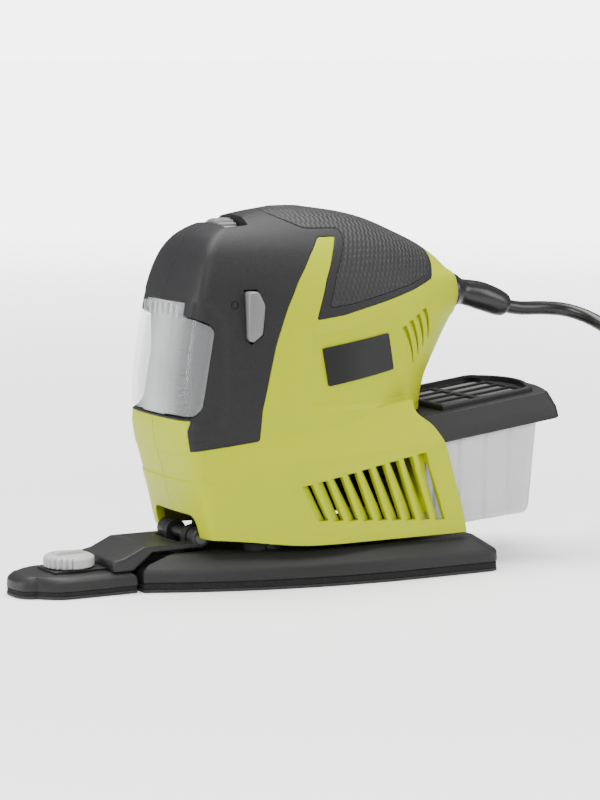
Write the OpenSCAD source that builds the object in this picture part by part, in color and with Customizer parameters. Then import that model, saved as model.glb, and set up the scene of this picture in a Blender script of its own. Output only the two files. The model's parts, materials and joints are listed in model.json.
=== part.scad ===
/* [Housing] */
// Highest point of the housing above the work
body_top = 156; // [150:1:160]
// Wall of the housing shells, the nose and the grip
wall = 2.5; // [2:0.1:3]
// Lowest edge of the housing skirt
skirt_z = 17; // [16.5:0.5:18]
// Half the width of the skirt
skirt_half = 42; // [41:0.5:43]

/* [Motor] */
// Radius of the stator core
stator_r = 24; // [22:0.5:24]
// Radius of the armature core
armature_r = 15; // [13:0.5:15.2]
// Radius of the motor shaft
shaft_r = 4; // [3:0.5:4.5]
// Eccentric offset that makes the pad orbit
orbit = 1; // [0.8:0.1:1]
// Radius of the fan
fan_r = 27; // [24:1:28]

/* [Pad] */
// Half the greatest width of the pad
pad_half = 47; // [45:0.5:48]
// Height of the pad's deck
deck_z = 15; // [14:0.5:15.5]
// Thickness of the hook-and-loop face
hook_t = 1.2; // [0.8:0.1:1.5]
// Top of the foam
foam_z = 4; // [3.5:0.5:5]
// Radius of the dust holes
dust_r = 4; // [3:0.5:5]

/* [Finger] */
// Distance from the pivot to the finger's tip
finger_l = 78.5; // [70:0.5:78.5]
// Half the width of the finger
finger_half = 18.5; // [16:0.5:19]
// Height of the pivot above the work
pivot_z = 20; // [19.5:0.5:20.5]
// Radius of the pivot pin
pin_r = 2.5; // [2:0.1:2.8]
// Radius of the clamping knob
knob_r = 10.5; // [9:0.5:11]

/* [Controls] */
// Radius of the speed dial
dial_r = 14; // [13:0.5:14]
// Ribs round the speed dial
dial_ribs = 24; // [18:1:30]

/* [Dust box] */
// Half the width of the dust container
box_half = 32; // [30:0.5:32]
// Rear of the dust container at its rim
box_rear = 113; // [108:1:113]
// Slope of the container's rim and of its lid, in degrees
lid_tilt = 7; // [5:0.5:8]
// Number of pleats of the filter
pleats = 14; // [8:1:18]

/* [Cord] */
// Diameter of the mains cord
cord_d = 6.2; // [5.5:0.1:6.4]
// Columns of turns in the coil
coil_columns = 4; // [3:1:4]

/* [Hidden] */

$fn = 48;
LIME = [0.76, 0.79, 0.12];
DARK = [0.18, 0.18, 0.19];
GREY = [0.55, 0.55, 0.56];
STEEL = [0.72, 0.73, 0.75];
COPPER = [0.72, 0.42, 0.2];
BRASS = [0.8, 0.66, 0.3];
PALE = [0.8, 0.8, 0.81];
CLEAR = [0.85, 0.87, 0.88, 0.6];

// Profiles of the housing against height: front, rear, half width, half width of the front face
FRONT = [[16, -50.5], [22, -52], [35, -54.5], [50, -58.5], [60, -61], [68, -62], [77, -62],
  [112, -57.5], [118, -56.5], [126, -54.5], [137, -50.5], [143.5, -46], [147, -41.5],
  [150, -34.5], [153.8, -21], [156, -8]];
REAR = [[16, 62], [69, 62.5], [81, 65], [88, 68.5], [95, 72.6], [106, 79.4], [109, 82],
  [116.5, 84.3], [122, 83.4], [125, 81.8], [127, 78.5], [133, 71.5], [138.6, 62.9],
  [145, 49.3], [150, 37], [153, 25.5], [156, 6]];
WIDTH = [[16, 36.5], [70, 36.5], [100, 34.5], [120, 33], [130, 30.5], [138, 26.5],
  [145, 21], [150, 15.5], [153.5, 10.5], [156, 4]];
CORNER = [[16, 28], [60, 27.5], [112, 27], [126, 26], [137, 23.2], [143.5, 19.5], [150, 12.5],
  [156, 3]];
WIDEST = [[16, 10], [120, 10], [145, 4], [156, 0]];
SIDE_STEPS = 7;
REAR_STEPS = 9;
UPPER_Z = [56, 63, 70, 77, 84, 91, 98, 105, 110, 115, 120, 125, 129, 133, 137, 141, 144.5,
  148, 151, 153.5, 155.2, 156];
SKIRT_RINGS = [[0, 0, -1], [8, 0, 0], [20, 0.02, 0], [36.5, 0.065, 0], [48.5, 0.13, -5.5],
  [52, 0.13, -7]];

function mix(a, b, t) = a + (b - a) * t;

// One side of a section: the rear curve, the flank and the front face, from rear to front
function half_section(f, r, w, c, m, n, off) = concat(
  [for (i = [0 : REAR_STEPS - 1]) let (t = 90 * i / REAR_STEPS)
    [m + (r - off - m) * pow(cos(t), 2 / n), (w - off) * pow(sin(t), 2 / n)]],
  [for (i = [0 : SIDE_STEPS - 1]) let (t = i / SIDE_STEPS)
    [mix(m, f + off + 2.5, t), c - off + (w - c) * sin(90 * (1 - t))]],
  [for (k = [1, 0.5, 0]) [f + off + 2.5 * k * k, (c - off) * k]]);

function whole_section(h) = concat(h,
  [for (i = [len(h) - 2 : -1 : 1]) [h[i][0], -h[i][1]]]);

function upper_section(z, off) = let (q = min(z, 156))
  whole_section(half_section(lookup(q, FRONT), lookup(q, REAR), lookup(q, WIDTH),
    lookup(q, CORNER), lookup(q, WIDEST), 2, min(off, lookup(q, CORNER) - 0.4)));

module loft(rings) {
  n = len(rings[0]);
  m = len(rings);
  polyhedron(
    points = [for (r = rings) for (p = r) p],
    faces = concat(
      [[for (i = [0 : n - 1]) i]],
      [[for (i = [n - 1 : -1 : 0]) (m - 1) * n + i]],
      [for (k = [0 : m - 2]) for (i = [0 : n - 1]) let (j = (i + 1) % n)
        [k * n + i, (k + 1) * n + i, (k + 1) * n + j]],
      [for (k = [0 : m - 2]) for (i = [0 : n - 1]) let (j = (i + 1) % n)
        [k * n + i, (k + 1) * n + j, k * n + j]]));
}

// The upper body as a solid, moved inward by off, its top lowered by the same amount
module upper_solid(off) {
  top = body_top - off;
  loft([for (z = UPPER_Z) let (h = mix(UPPER_Z[0], top, (z - 56) / 100))
    [for (p = upper_section(z, off)) [p[0], p[1], h]]]);
}

// The skirt as a solid: straight sides, a sloping shoulder and a square rear end
module skirt_solid(off) {
  base = skirt_z - (off > 0 ? 2 : 0);
  loft([for (q = SKIRT_RINGS)
    let (
      z = base + q[0] * (1 - off / 60),
      f = lookup(z - 55 * q[1], FRONT) + (q[0] > 30 ? 0.5 : 0),
      s = whole_section(half_section(f, 86, skirt_half + q[2], 28, 10, 9, off)))
    [for (p = s) [p[0], p[1], z + q[1] * p[0]]]]);
}

module side_prism(points, y0, y1)
  translate([0, y1, 0]) rotate([90, 0, 0]) linear_extrude(y1 - y0) polygon(points);

module block(x0, x1, y0, y1, z0, z1)
  translate([x0, y0, z0]) cube([x1 - x0, y1 - y0, z1 - z0]);

// The rear edges of the skirt seen from the side
module ear_line()
  side_prism([[-80, 10], [67, 10], [67, 17], [55.2, 56.5], [50.5, 64], [43, 70], [43, 90],
    [-80, 90]], -60, 60);

module body_solid() {
  difference() {
    union() {
      upper_solid(0);
      intersection() {
        skirt_solid(0);
        ear_line();
      }
    }
    block(47.5, 90, -34.3, 34.3, 0, 68);
    block(47.5, 90, -39.3, 39.3, 0, 48);
    block(-90, -40, -20, 20, 0, 33);
  }
}

module body_space() {
  difference() {
    union() {
      upper_solid(wall);
      skirt_solid(wall);
    }
    block(45, 100, -60, 60, 0, 70.5);
  }
}

// Areas of the dark nose and its band, and of the soft grip, seen from the side
NOSE_LINE = [[-80, 58], [-57, 58.2], [-43.4, 59.7], [-29.1, 61.5], [-27.9, 73.9], [-24.5, 87.4],
  [-21, 100.9], [-15.6, 115.4], [-9.8, 126.5], [-2.6, 136.2], [4.1, 143.8], [12.6, 143.8],
  [8.7, 137], [3.2, 126.1], [-2.1, 110.3], [10.3, 111.8], [16.1, 113.2], [34, 117.2],
  [47.2, 120.6], [59, 124.6], [61.8, 129.3], [63.6, 134.5], [64.5, 140], [64.5, 170], [-80, 170]];
GRIP_LINE = [[15.3, 147.1], [16.9, 144.9], [15.6, 140.6], [8.4, 128.3], [3.8, 115],
  [14.3, 116.2], [30.7, 119.6], [45.9, 122.9], [56.4, 126.2], [59.3, 129], [60.6, 133],
  [61.8, 138], [61.8, 170], [-14, 170], [-14, 154.5], [-9.8, 151.9], [-0.3, 147.4]];

module nose_area() {
  difference() {
    side_prism(NOSE_LINE, -60, 60);
    block(-80, -44, -26.2, 26.2, 50, 70.8);
  }
}

module grip_area() side_prism(GRIP_LINE, -60, 60);

// Opening for the clear cover: across the front and a little way round both sides
COVER_LINE = [[-80, 71.5], [-56.2, 71.5], [-52.6, 75.2], [-46.8, 107], [-48, 109.6], [-57, 113.6],
  [-80, 114]];
TAB_HALF = 17.6;

// Middle of the speed dial, and the spindle that it turns on
DIAL = [-30, 137.6];
SPINDLE_R = 1.5;

module cover_area() {
  side_prism(COVER_LINE, -60, 60);
  block(-80, -46, -TAB_HALF, TAB_HALF, 105, 118.8);
}

SCREWS = [[58, 108, 12], [40, 73, 19], [-44, 48, 14]];
NOSE_SCREWS = [[-47, 128, 8]];

module y_rod(x, z, y0, y1, r, sides = 24)
  translate([x, y1, z]) rotate([90, 0, 0]) cylinder(r = r, h = y1 - y0, $fn = sides);

module posts(list) for (s = list) y_rod(s[0], s[1], -60, 60, 4.2, 16);

module post_bores(list) {
  for (s = list) {
    y_rod(s[0], s[1], -13, 60, 1.7, 14);
    y_rod(s[0], s[1], s[2], 60, 3.6, 16);
  }
}

LEGS = [[-28, 25], [-28, -25], [34, 28], [34, -28]];
SHELF = [42, 44];
TOP_SHELF = [116, 118];

// Ledges that carry the motor, and sockets for the flexible legs
module ledges() {
  difference() {
    block(-80, 60, -60, 60, SHELF[0], SHELF[1]);
    translate([0, 0, 30]) cylinder(r = 31, h = 20);
  }
  for (p = LEGS) translate([p[0], p[1], 33]) difference() {
    cylinder(r = 7, h = 9.5, $fn = 16);
    translate([0, 0, -1]) cylinder(r = 5.4, h = 9.9, $fn = 16);
  }
  difference() {
    block(-22, 60, -60, 60, TOP_SHELF[0], TOP_SHELF[1]);
    translate([0, 0, 110]) cylinder(r = 26, h = 20);
  }
}

module lower_vents(side) {
  for (i = [0 : 8]) {
    t = i / 8;
    hull() {
      y_rod(mix(-11.5, 41.5, t), mix(41, 51, t), side - 6, side + 6, 1.35, 12);
      y_rod(mix(-4.5, 51, t), mix(28.5, 24.5, t), side - 6, side + 6, 1.35, 12);
    }
  }
}

module rear_vents(side) {
  for (i = [0 : 3]) {
    hull() {
      y_rod(47 + 3.1 * i, 91 + 3.1 * i, side - 14, side + 14, 0.5, 12);
      y_rod(42.5 + 3.7 * i, 104 + 2.2 * i, side - 14, side + 14, 1.1, 12);
    }
  }
}

module half_space(side)
  block(-120, 120, side < 0 ? -70 : 0, side < 0 ? 0 : 70, 0, 175);

module shell(side) {
  difference() {
    intersection() {
      body_solid();
      half_space(side);
    }
    difference() {
      body_space();
      ledges();
      posts(SCREWS);
    }
    nose_area();
    post_bores(SCREWS);
    lower_vents(side * 42);
    rear_vents(side * 30);
    cover_area();
    translate([60, 0, 116.5]) rotate([0, 90, 0]) cylinder(r = 6.4, h = 40);
    translate([40, 0, 33]) rotate([0, 90, 0]) cylinder(r = 8, h = 12);
  }
}

module left_shell() color(LIME) shell(-1);
module right_shell() color(LIME) shell(1);

module nose_ribs() {
  for (z = [80, 88, 96, 104])
    for (s = [-1, 1])
      hull() {
        translate([-42, s * 27.8, z]) sphere(r = 1.2, $fn = 8);
        translate([-30, s * 29.6, z]) sphere(r = 1.2, $fn = 8);
      }
}

// Six-sided button of the power switch, seen from the side
BUTTON = [[-33.7, 103.4], [-31.8, 101.7], [-27, 105], [-25.8, 117.3], [-28.9, 123.1],
  [-33.7, 123.1]];

module button_prism(gap, y0, y1)
  translate([0, y1, 0]) rotate([90, 0, 0]) linear_extrude(y1 - y0)
    offset(delta = gap) polygon(BUTTON);

module nose(side) {
  difference() {
    intersection() {
      body_solid();
      half_space(side);
      nose_area();
    }
    difference() {
      body_space();
      posts(NOSE_SCREWS);
      nose_ribs();
    }
    grip_area();
    post_bores(NOSE_SCREWS);
    cover_area();
    button_prism(0.6, -60, 60);
    block(DIAL[0] - 5.5, DIAL[0] + 5.5, -14.6, 14.6, 138, 170);
    translate([60, 0, 116.5]) rotate([0, 90, 0]) cylinder(r = 6.4, h = 40);
  }
}

module nose_left() color(DARK) nose(-1);
module nose_right() color(DARK) nose(1);

GRIP_CREST = [[6, 156], [25.5, 153], [37, 150], [49.3, 145], [62.9, 138.6]];

// Ribs that stiffen the grip from inside
module grip_ribs() {
  for (x = [8 : 5 : 43])
    hull() {
      translate([x, -3.5, lookup(x, GRIP_CREST) - wall]) sphere(r = 1.4, $fn = 8);
      translate([x, 3.5, lookup(x, GRIP_CREST) - wall]) sphere(r = 1.4, $fn = 8);
    }
}

module grip_pad() color(DARK) {
  intersection() {
    difference() {
      body_solid();
      difference() {
        body_space();
        grip_ribs();
      }
    }
    grip_area();
  }
}

BADGE = [[2.5, 82.4], [36.2, 87.6], [33.4, 103], [0.4, 98.2]];

module badge(side) {
  intersection() {
    difference() {
      upper_solid(-0.7);
      upper_solid(0);
    }
    side_prism(BADGE, side < 0 ? -60 : 0, side < 0 ? 0 : 60);
  }
}

module badge_left() color(DARK) badge(-1);
module badge_right() color(DARK) badge(1);

module housing_screws() color(STEEL) {
  for (s = concat(SCREWS, NOSE_SCREWS)) {
    y_rod(s[0], s[1], -12, s[2] + 0.1, 1.6);
    difference() {
      y_rod(s[0], s[1], s[2], s[2] + 2.4, 3.2);
      translate([s[0] - 0.4, s[2] + 1.4, s[1] - 2.2]) cube([0.8, 2, 4.4]);
      translate([s[0] - 2.2, s[2] + 1.4, s[1] - 0.4]) cube([4.4, 2, 0.8]);
    }
  }
}

// Tray behind the clear cover, open towards the front
module storage_tub() color(DARK) {
  difference() {
    block(-53, -45, -19.5, 19.5, 72, 112);
    block(-60, -46.5, -18, 18, 73.5, 110.5);
  }
  for (z = [84, 95, 106]) block(-50, -46.4, -18.1, 18.1, z, z + 1.4);
}

CORE = [62, 94];

module tube(z0, z1, r1, r0)
  difference() {
    translate([0, 0, z0]) cylinder(r = r1, h = z1 - z0);
    translate([0, 0, z0 - 1]) cylinder(r = r0, h = z1 - z0 + 2);
  }

module stator_core() color(STEEL) difference() {
  tube(CORE[0], CORE[1], stator_r, armature_r + 0.7);
  for (a = [0, 180]) rotate([0, 0, a]) block(17.5, 21.5, -9, 9, CORE[0] - 1, CORE[1] + 1);
}

module field_coils() color(COPPER)
  for (a = [0, 180])
    rotate([0, 0, a]) {
      block(17.8, 21.2, -8.6, 8.6, CORE[0] - 5, CORE[1] + 5);
      for (z = [CORE[0] - 5, CORE[1] + 0.3]) intersection() {
        tube(z, z + 4.7, 22, 17);
        block(5, 30, -22, 22, z - 1, z + 6);
      }
    }

CARRIER_Z = 46.5;

// Cup that holds the stator, with the lower bearing's seat in its floor
module motor_frame() color(DARK) {
  difference() {
    union() {
      translate([0, 0, SHELF[1]]) cylinder(r = 35, h = CARRIER_Z - SHELF[1]);
      translate([0, 0, SHELF[1]]) cylinder(r = 13.5, h = 11);
    }
    translate([0, 0, 47]) cylinder(r = 11, h = 20);
    translate([0, 0, 40]) cylinder(r = 9, h = 20);
    for (a = [45 : 90 : 315]) rotate([0, 0, a]) translate([19, 0, 40]) cylinder(r = 4, h = 10);
  }
  difference() {
    tube(CARRIER_Z - 0.1, 99, stator_r + 1.6, stator_r);
    for (a = [45, 135]) rotate([0, 0, a]) block(-40, 40, -7, 7, 50, 60);
    for (a = [45, 135]) rotate([0, 0, a]) block(-40, 40, -7, 7, 66, 90);
  }
}

module upper_carrier() color(DARK) {
  difference() {
    union() {
      translate([0, 0, TOP_SHELF[1]]) cylinder(r = 27.5, h = 2.5);
      translate([0, 0, TOP_SHELF[1]]) cylinder(r = 12, h = 13);
      for (s = [-1, 1]) translate([-4, s * 18 - 4, 113]) cube([8, 8, 6]);
    }
    translate([0, 0, 122]) cylinder(r = 9.5, h = 20);
    translate([0, 0, 110]) cylinder(r = 6.5, h = 20);
    for (a = [45 : 90 : 315]) rotate([0, 0, a]) translate([19, 0, 110]) cylinder(r = 4, h = 12);
    block(-40, -25.5, -40, 40, 100, 140);
  }
}

// Ball bearing with its two rings and the shields between them
module bearing(z0, z1, r1, r0) {
  t = (r1 - r0) / 3;
  tube(z0, z1, r1, r1 - t);
  tube(z0, z1, r0 + t, r0);
  tube(z0 + 0.6, z1 - 0.6, r1 - t + 0.01, r0 + t - 0.01);
}

// Running clearance between a shaft or pin and its bearing
RUNNING = 0.05;

module upper_bearing() color(STEEL) bearing(122, 129, 9.5, shaft_r + RUNNING);
module lower_bearing() color(STEEL) bearing(47, 54, 11, shaft_r + RUNNING);

module brush_holders() color(BRASS)
  for (s = [-1, 1])
    difference() {
      block(-4, 4, s < 0 ? -26 : 11, s < 0 ? -11 : 26, 105, 113);
      block(-2.6, 2.6, -40, 40, 106.4, 111.6);
    }

module carbon_brushes() color([0.15, 0.15, 0.16])
  for (s = [-1, 1]) block(-2.5, 2.5, s < 0 ? -20 : 9.3, s < 0 ? -9.3 : 20, 106.5, 111.5);

module brush_springs() color(STEEL)
  for (s = [-1, 1])
    for (k = [0 : 5])
      translate([0, s * (20.5 + k), 109]) rotate([90, 0, 0])
        rotate_extrude($fn = 24) translate([1.7, 0]) square([0.6, 1], center = true);

module armature_shaft() color(STEEL) translate([0, 0, 26]) cylinder(r = shaft_r, h = 103.5);

module armature_core() color(STEEL) difference() {
  tube(CORE[0], CORE[1], armature_r, shaft_r);
  for (a = [0 : 30 : 330]) rotate([0, 0, a]) block(armature_r - 4, armature_r + 1, -1, 1,
    CORE[0] - 1, CORE[1] + 1);
}

module commutator() color(COPPER) difference() {
  tube(103, 115, 9, shaft_r);
  for (a = [0 : 15 : 345]) rotate([0, 0, a]) block(8.2, 10, -0.2, 0.2, 100, 120);
}

module fan() color(PALE) {
  tube(40, 41.5, fan_r, shaft_r);
  tube(33, 40.1, 8, shaft_r);
  for (a = [0 : 30 : 330]) rotate([0, 0, a]) block(9, fan_r - 1, -0.8, 0.8, 33, 40.1);
}

ECCENTRIC_R = 4;

// Hub with the eccentric pin, and the weight that balances the pad
module counterweight() color(GREY) {
  difference() {
    translate([0, 0, 24.5]) cylinder(r = 9, h = 8.3);
    translate([0, 0, 26]) cylinder(r = shaft_r, h = 10);
  }
  intersection() {
    tube(27, 32.5, 17, 8.9);
    block(-20, -1, -17, 17, 20, 40);
  }
  translate([orbit, 0, 16.5]) cylinder(r = ECCENTRIC_R, h = 8.1);
}

// Rubbing disc under the fan that keeps dust out of the motor
module fan_shroud() color(DARK) difference() {
  tube(29.4, 31, 31, 19.5);
  for (a = [0 : 60 : 300]) rotate([0, 0, a]) translate([25, 0, 20]) cylinder(r = 2.4, h = 20);
}

module dust_duct() color(DARK) {
  translate([36, 0, 33]) rotate([0, 90, 0]) difference() {
    union() {
      cylinder(r = 7.6, h = 20);
      cylinder(r = 8.6, h = 3);
    }
    translate([0, 0, -1]) cylinder(r = 6, h = 30);
  }
}

module switch_module() color(DARK) {
  block(-43.5, -36.5, -9, 9, 98, 119);
  for (s = [-1, 1]) block(-41, -39, s * 6 - 1, s * 6 + 1, 94, 98.1);
}

module speed_module() color([0.1, 0.3, 0.16]) difference() {
  block(-24.6, -20, -9, 9, 128, 144);
  translate([-30, 0, DIAL[1]]) rotate([0, 90, 0]) cylinder(r = SPINDLE_R, h = 15);
}

module dial_spindle() color(STEEL)
  translate([-36.5, 0, DIAL[1]]) rotate([0, 90, 0]) cylinder(r = SPINDLE_R, h = 16.5);

module speed_dial() color(GREY)
  translate([DIAL[0] - 4.2, 0, DIAL[1]]) rotate([0, 90, 0]) difference() {
    union() {
      cylinder(r = dial_r - 0.8, h = 8.4);
      for (i = [0 : dial_ribs - 1]) rotate([0, 0, 360 * i / dial_ribs])
        translate([dial_r - 1.6, -0.7, 0]) cube([1.6, 1.4, 8.4]);
    }
    translate([0, 0, -1]) cylinder(r = SPINDLE_R + RUNNING, h = 12);
  }

BUTTON_END = 33.4;

// Push-through power switch: a bar with a six-sided button on each end
module power_bar() color(GREY) {
  button_prism(0, -BUTTON_END, -24.4);
  button_prism(0, 24.4, BUTTON_END);
  block(-33, -28.4, -24.5, 24.5, 108, 117);
}

COVER_T = 1.8;

// Centre (x, z) and radius of the small barrel that the cover turns on
COVER_HINGE = [-61, 72.4];
COVER_HINGE_R = 0.6;

module clear_cover() color(CLEAR) {
  intersection() {
    difference() {
      upper_solid(0);
      upper_solid(COVER_T);
    }
    union() {
      side_prism([[-80, 72.6], [-56.5, 72.6], [-53.2, 75.8], [-47.5, 106.6], [-48.6, 108.9],
        [-57, 112.8], [-80, 113]], -60, 60);
      block(-80, -46, -TAB_HALF + 0.6, TAB_HALF - 0.6, 110, 118.3);
    }
  }
  for (k = [-15 : 3 : 15]) block(-58.1, -56.9, k - 0.6, k + 0.6, 110, 118);
  y_rod(COVER_HINGE[0], COVER_HINGE[1], -9, 9, COVER_HINGE_R);
}

// Pad outline: half width against length, and the rounded square rear
PAD_WIDTH = [[-76, 20], [-68, 23.6], [-60, 27.2], [-50, 31.2], [-40, 34.6], [-30, 37.6],
  [-20, 40.1], [-10, 42.2], [0, 43.9], [10, 45.2], [20, 46.2], [30, 46.8], [45, 47],
  [75, 47]];

function pad_half_outline(inset) = concat(
  [for (p = PAD_WIDTH) if (p[0] > -76 + inset) [p[0], p[1] * pad_half / 47 - inset]],
  [for (a = [15 : 15 : 90]) [75 - inset + 6 * sin(a), pad_half - 6 - inset + 6 * cos(a)]]);

function pad_outline(inset) = let (
    h = pad_half_outline(inset),
    w = lookup(-76 + inset, PAD_WIDTH) - inset)
  concat([[-76 + inset, w]], h, [for (i = [len(h) - 1 : -1 : 0]) [h[i][0], -h[i][1]]],
    [[-76 + inset, -w]]);

DUST_HOLES = [[-44, 0], [-20, 17], [-20, -17], [18, 22], [18, -22], [56, 22], [56, -22],
  [60, 0]];

module dust_holes() for (p = DUST_HOLES) translate([p[0], p[1], -1]) cylinder(r = dust_r, h = 30);

module pad_slice(z0, z1, inset)
  translate([0, 0, z0]) linear_extrude(z1 - z0) polygon(pad_outline(inset));

module platen_plate() color(DARK) difference() {
  union() {
    pad_slice(foam_z, 9.01, 0);
    pad_slice(9, 11.01, 1.6);
    pad_slice(11, 13.01, 3.6);
    pad_slice(13, deck_z, 6);
    translate([orbit, 0, 14]) cylinder(r = 15, h = 7);
  }
  dust_holes();
  translate([orbit, 0, 9.5]) cylinder(r = 11, h = 20);
  block(-90, -47, -18.2, 18.2, 9.6, 30);
  block(-60, PIVOT_X + 4.6, -10.5, 10.5, 9.6, 30);
  for (p = LEGS) translate([p[0] + orbit, p[1], 6]) cylinder(r = 1.6, h = 20);
  for (p = LEGS) translate([p[0] + orbit, p[1], -1]) cylinder(r = 3.4, h = 9);
}

module foam_pad() color([0.1, 0.1, 0.1]) difference() {
  pad_slice(hook_t, foam_z, 0);
  dust_holes();
  for (p = LEGS) translate([p[0] + orbit, p[1], -1]) cylinder(r = 3.4, h = 9);
}

module hook_face() color([0.14, 0.14, 0.14]) difference() {
  pad_slice(0, hook_t, 0.4);
  dust_holes();
}

module platen_bearing() color(STEEL) translate([orbit, 0, 0]) bearing(11, 20, 11,
  ECCENTRIC_R + RUNNING);

module flex_legs() color([0.12, 0.12, 0.12])
  for (p = LEGS) translate([p[0] + orbit, p[1], deck_z]) difference() {
    union() {
      cylinder(r = 4, h = 26.3);
      cylinder(r = 5, h = 3);
    }
    translate([0, 0, -1]) cylinder(r = 1.6, h = 12);
  }

module leg_screws() color(STEEL)
  for (p = LEGS) translate([p[0] + orbit, p[1], 0]) {
    translate([0, 0, 6]) cylinder(r = 3.2, h = 2);
    translate([0, 0, 7.9]) cylinder(r = 1.6, h = 16);
  }

PIVOT_X = -48;

// Two lugs on the front of the pad that hold the finger's pivot pin
module pivot_bracket() color(DARK) {
  for (s = [-1, 1])
    difference() {
      union() {
        translate([PIVOT_X, s * 8.5 + 2, pivot_z]) rotate([90, 0, 0]) cylinder(r = 4.6, h = 4);
        block(PIVOT_X - 4.6, PIVOT_X + 4.6, s * 8.5 - 2, s * 8.5 + 2, 9.6, pivot_z);
      }
      y_rod(PIVOT_X, pivot_z, -20, 20, pin_r);
    }
  block(PIVOT_X - 4.6, PIVOT_X + 1, -6.6, 6.6, 9.6, 12);
}

module pivot_pin() color(STEEL) y_rod(PIVOT_X, pivot_z, -17, 17, pin_r);

TIP_X = -48 - finger_l;

// The finger's outline: a blunt point in front, then parallel sides
function finger_outline(inset) = let (
    w = finger_half - inset,
    side = concat(
      [[-78 - inset, w]],
      [for (i = [0 : 6]) let (t = i / 6) [-108 - 12 * t, w * (1 - 0.42 * t * t)]],
      [for (a = [30, 60]) [TIP_X + inset + 6.5 - 6.5 * sin(a), w * 0.58 * cos(a)]]))
  concat(side, [[TIP_X + inset, 0]], [for (i = [len(side) - 1 : -1 : 0]) [side[i][0], -side[i][1]]]);

module finger_slice(z0, z1, inset)
  translate([0, 0, z0]) linear_extrude(z1 - z0) polygon(finger_outline(inset));

// The arm from the finger's plate over the pad's deck to the pivot
module finger_arm() color(GREY) {
  for (s = [-1, 1])
    difference() {
      union() {
        y_rod(PIVOT_X, pivot_z, s * 14 - 3, s * 14 + 3, 4.2);
        block(-70, PIVOT_X, s * 14 - 3, s * 14 + 3, pivot_z - 4, pivot_z - 1.4);
      }
      y_rod(PIVOT_X, pivot_z, -20, 20, pin_r + RUNNING);
    }
  block(-70, -56, -11.1, 11.1, 16, 18.6);
  block(-111, -84, -9, 9, 9, 10);
  side_prism([[-88, 9], [-79, 9], [-70, 16], [-69.9, 18.6], [-74, 18.6], [-83, 14.5],
    [-88, 13.5]], -17, 17);
}

KNOB_X = -100.5;
STUD_R = 2.5;

module knob_hole() translate([KNOB_X, 0, 5]) cylinder(r = STUD_R, h = 20);

module finger_plate() color(DARK) difference() {
  union() {
    finger_slice(3, 7.5, 0);
    finger_slice(7.4, 9, 1.5);
  }
  knob_hole();
}

module finger_foam() color([0.1, 0.1, 0.1]) finger_slice(hook_t, 3, 0);
module finger_hook_face() color([0.14, 0.14, 0.14]) finger_slice(0, hook_t, 0.4);

module finger_arm_drilled() difference() {
  finger_arm();
  knob_hole();
}

module knob_stud() color(STEEL) translate([KNOB_X, 0, 5]) cylinder(r = STUD_R, h = 8);

module finger_knob() color(PALE) translate([KNOB_X, 0, 10.3]) difference() {
  union() {
    cylinder(r = knob_r - 0.7, h = 5);
    for (i = [0 : 19]) rotate([0, 0, 18 * i]) translate([knob_r - 1.4, -0.8, 0])
      cube([1.4, 1.6, 4.6]);
    translate([-8, -1.6, 4.9]) cube([14, 3.2, 1.6]);
  }
  translate([0, 0, -1]) cylinder(r = STUD_R + RUNNING, h = 4.2);
}

BOX = [52, 17.5];

PORT_Z = 33;
PORT_R = 8.2;
BOX_WALL = 1.6;

// Collecting box, open on top, with a port in its front wall
module dust_container() color(CLEAR) difference() {
  side_prism([[BOX[0], BOX[1]], [109, 21.5], [box_rear, 65], [BOX[0], 57.5]],
    -box_half, box_half);
  side_prism([[BOX[0] + BOX_WALL, BOX[1] + BOX_WALL], [107.4, 23.1],
    [box_rear - 0.9, 76], [BOX[0] + BOX_WALL, 76]], -box_half + BOX_WALL, box_half - BOX_WALL);
  translate([45, 0, PORT_Z]) rotate([0, 90, 0]) cylinder(r = PORT_R, h = 12);
}

module box_seal() color(DARK) translate([49.2, 0, PORT_Z]) rotate([0, 90, 0])
  tube(0, 2.8, 12, PORT_R);

module lid_frame() translate([52, 0, 54]) rotate([0, -lid_tilt, 0]) children();

LID_T = 1.5;

// Plan of the lid with its bowed rear edge, shrunk by t
module lid_plan(t, z0, z1)
  translate([0, 0, z0]) linear_extrude(z1 - z0) polygon(concat(
    [[t > 0 ? -20 : 0, -33.8 + t]],
    [for (i = [-8 : 8]) [74.2 - t - 7.9 * pow(i / 8, 2), (33.8 - t) * i / 8]],
    [[t > 0 ? -20 : 0, 33.8 - t]]));

module dust_lid() color(DARK) lid_frame() {
  difference() {
    union() {
      lid_plan(0, 0, 12);
      intersection() {
        lid_plan(3, 11.9, 15);
        block(14.5, 70, -28, 28, 11, 16);
      }
    }
    lid_plan(LID_T, -1, 10.3);
    for (k = [-2 : 2]) block(18, 62, k * 10.6 - 3.8, k * 10.6 + 3.8, 9, 20);
  }
}

module filter_frame() color(PALE) lid_frame() difference() {
  block(12, 66, -29.5, 29.5, 4.2, 6);
  block(15, 65, -27, 27, 3, 8);
}

module filter_element() color([0.92, 0.92, 0.9]) lid_frame()
  translate([15, 27, 0]) rotate([90, 0, 0]) linear_extrude(54) polygon(concat(
    [for (i = [0 : 2 * pleats]) [50 * i / (2 * pleats), i % 2 == 0 ? 5 : 10]],
    [for (i = [2 * pleats : -1 : 0]) [50 * i / (2 * pleats), i % 2 == 0 ? 4.3 : 9.3]]));

// A round body swept along points, with a radius at each
function unit(v) = v / norm(v);
function sweep_ring(p, d, r, n) = let (
    s = unit(cross(d, abs(d[2]) > 0.9 ? [0, 1, 0] : [0, 0, 1])),
    u = cross(d, s))
  [for (i = [0 : n - 1]) let (a = 360 * i / n) p + r * (cos(a) * s + sin(a) * u)];
function heading(pts, i) = unit(pts[min(i + 1, len(pts) - 1)] - pts[max(i - 1, 0)]);

module sweep(pts, radii, n)
  loft([for (i = [0 : len(pts) - 1]) sweep_ring(pts[i], heading(pts, i),
    is_list(radii) ? radii[i] : radii, n)]);

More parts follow.
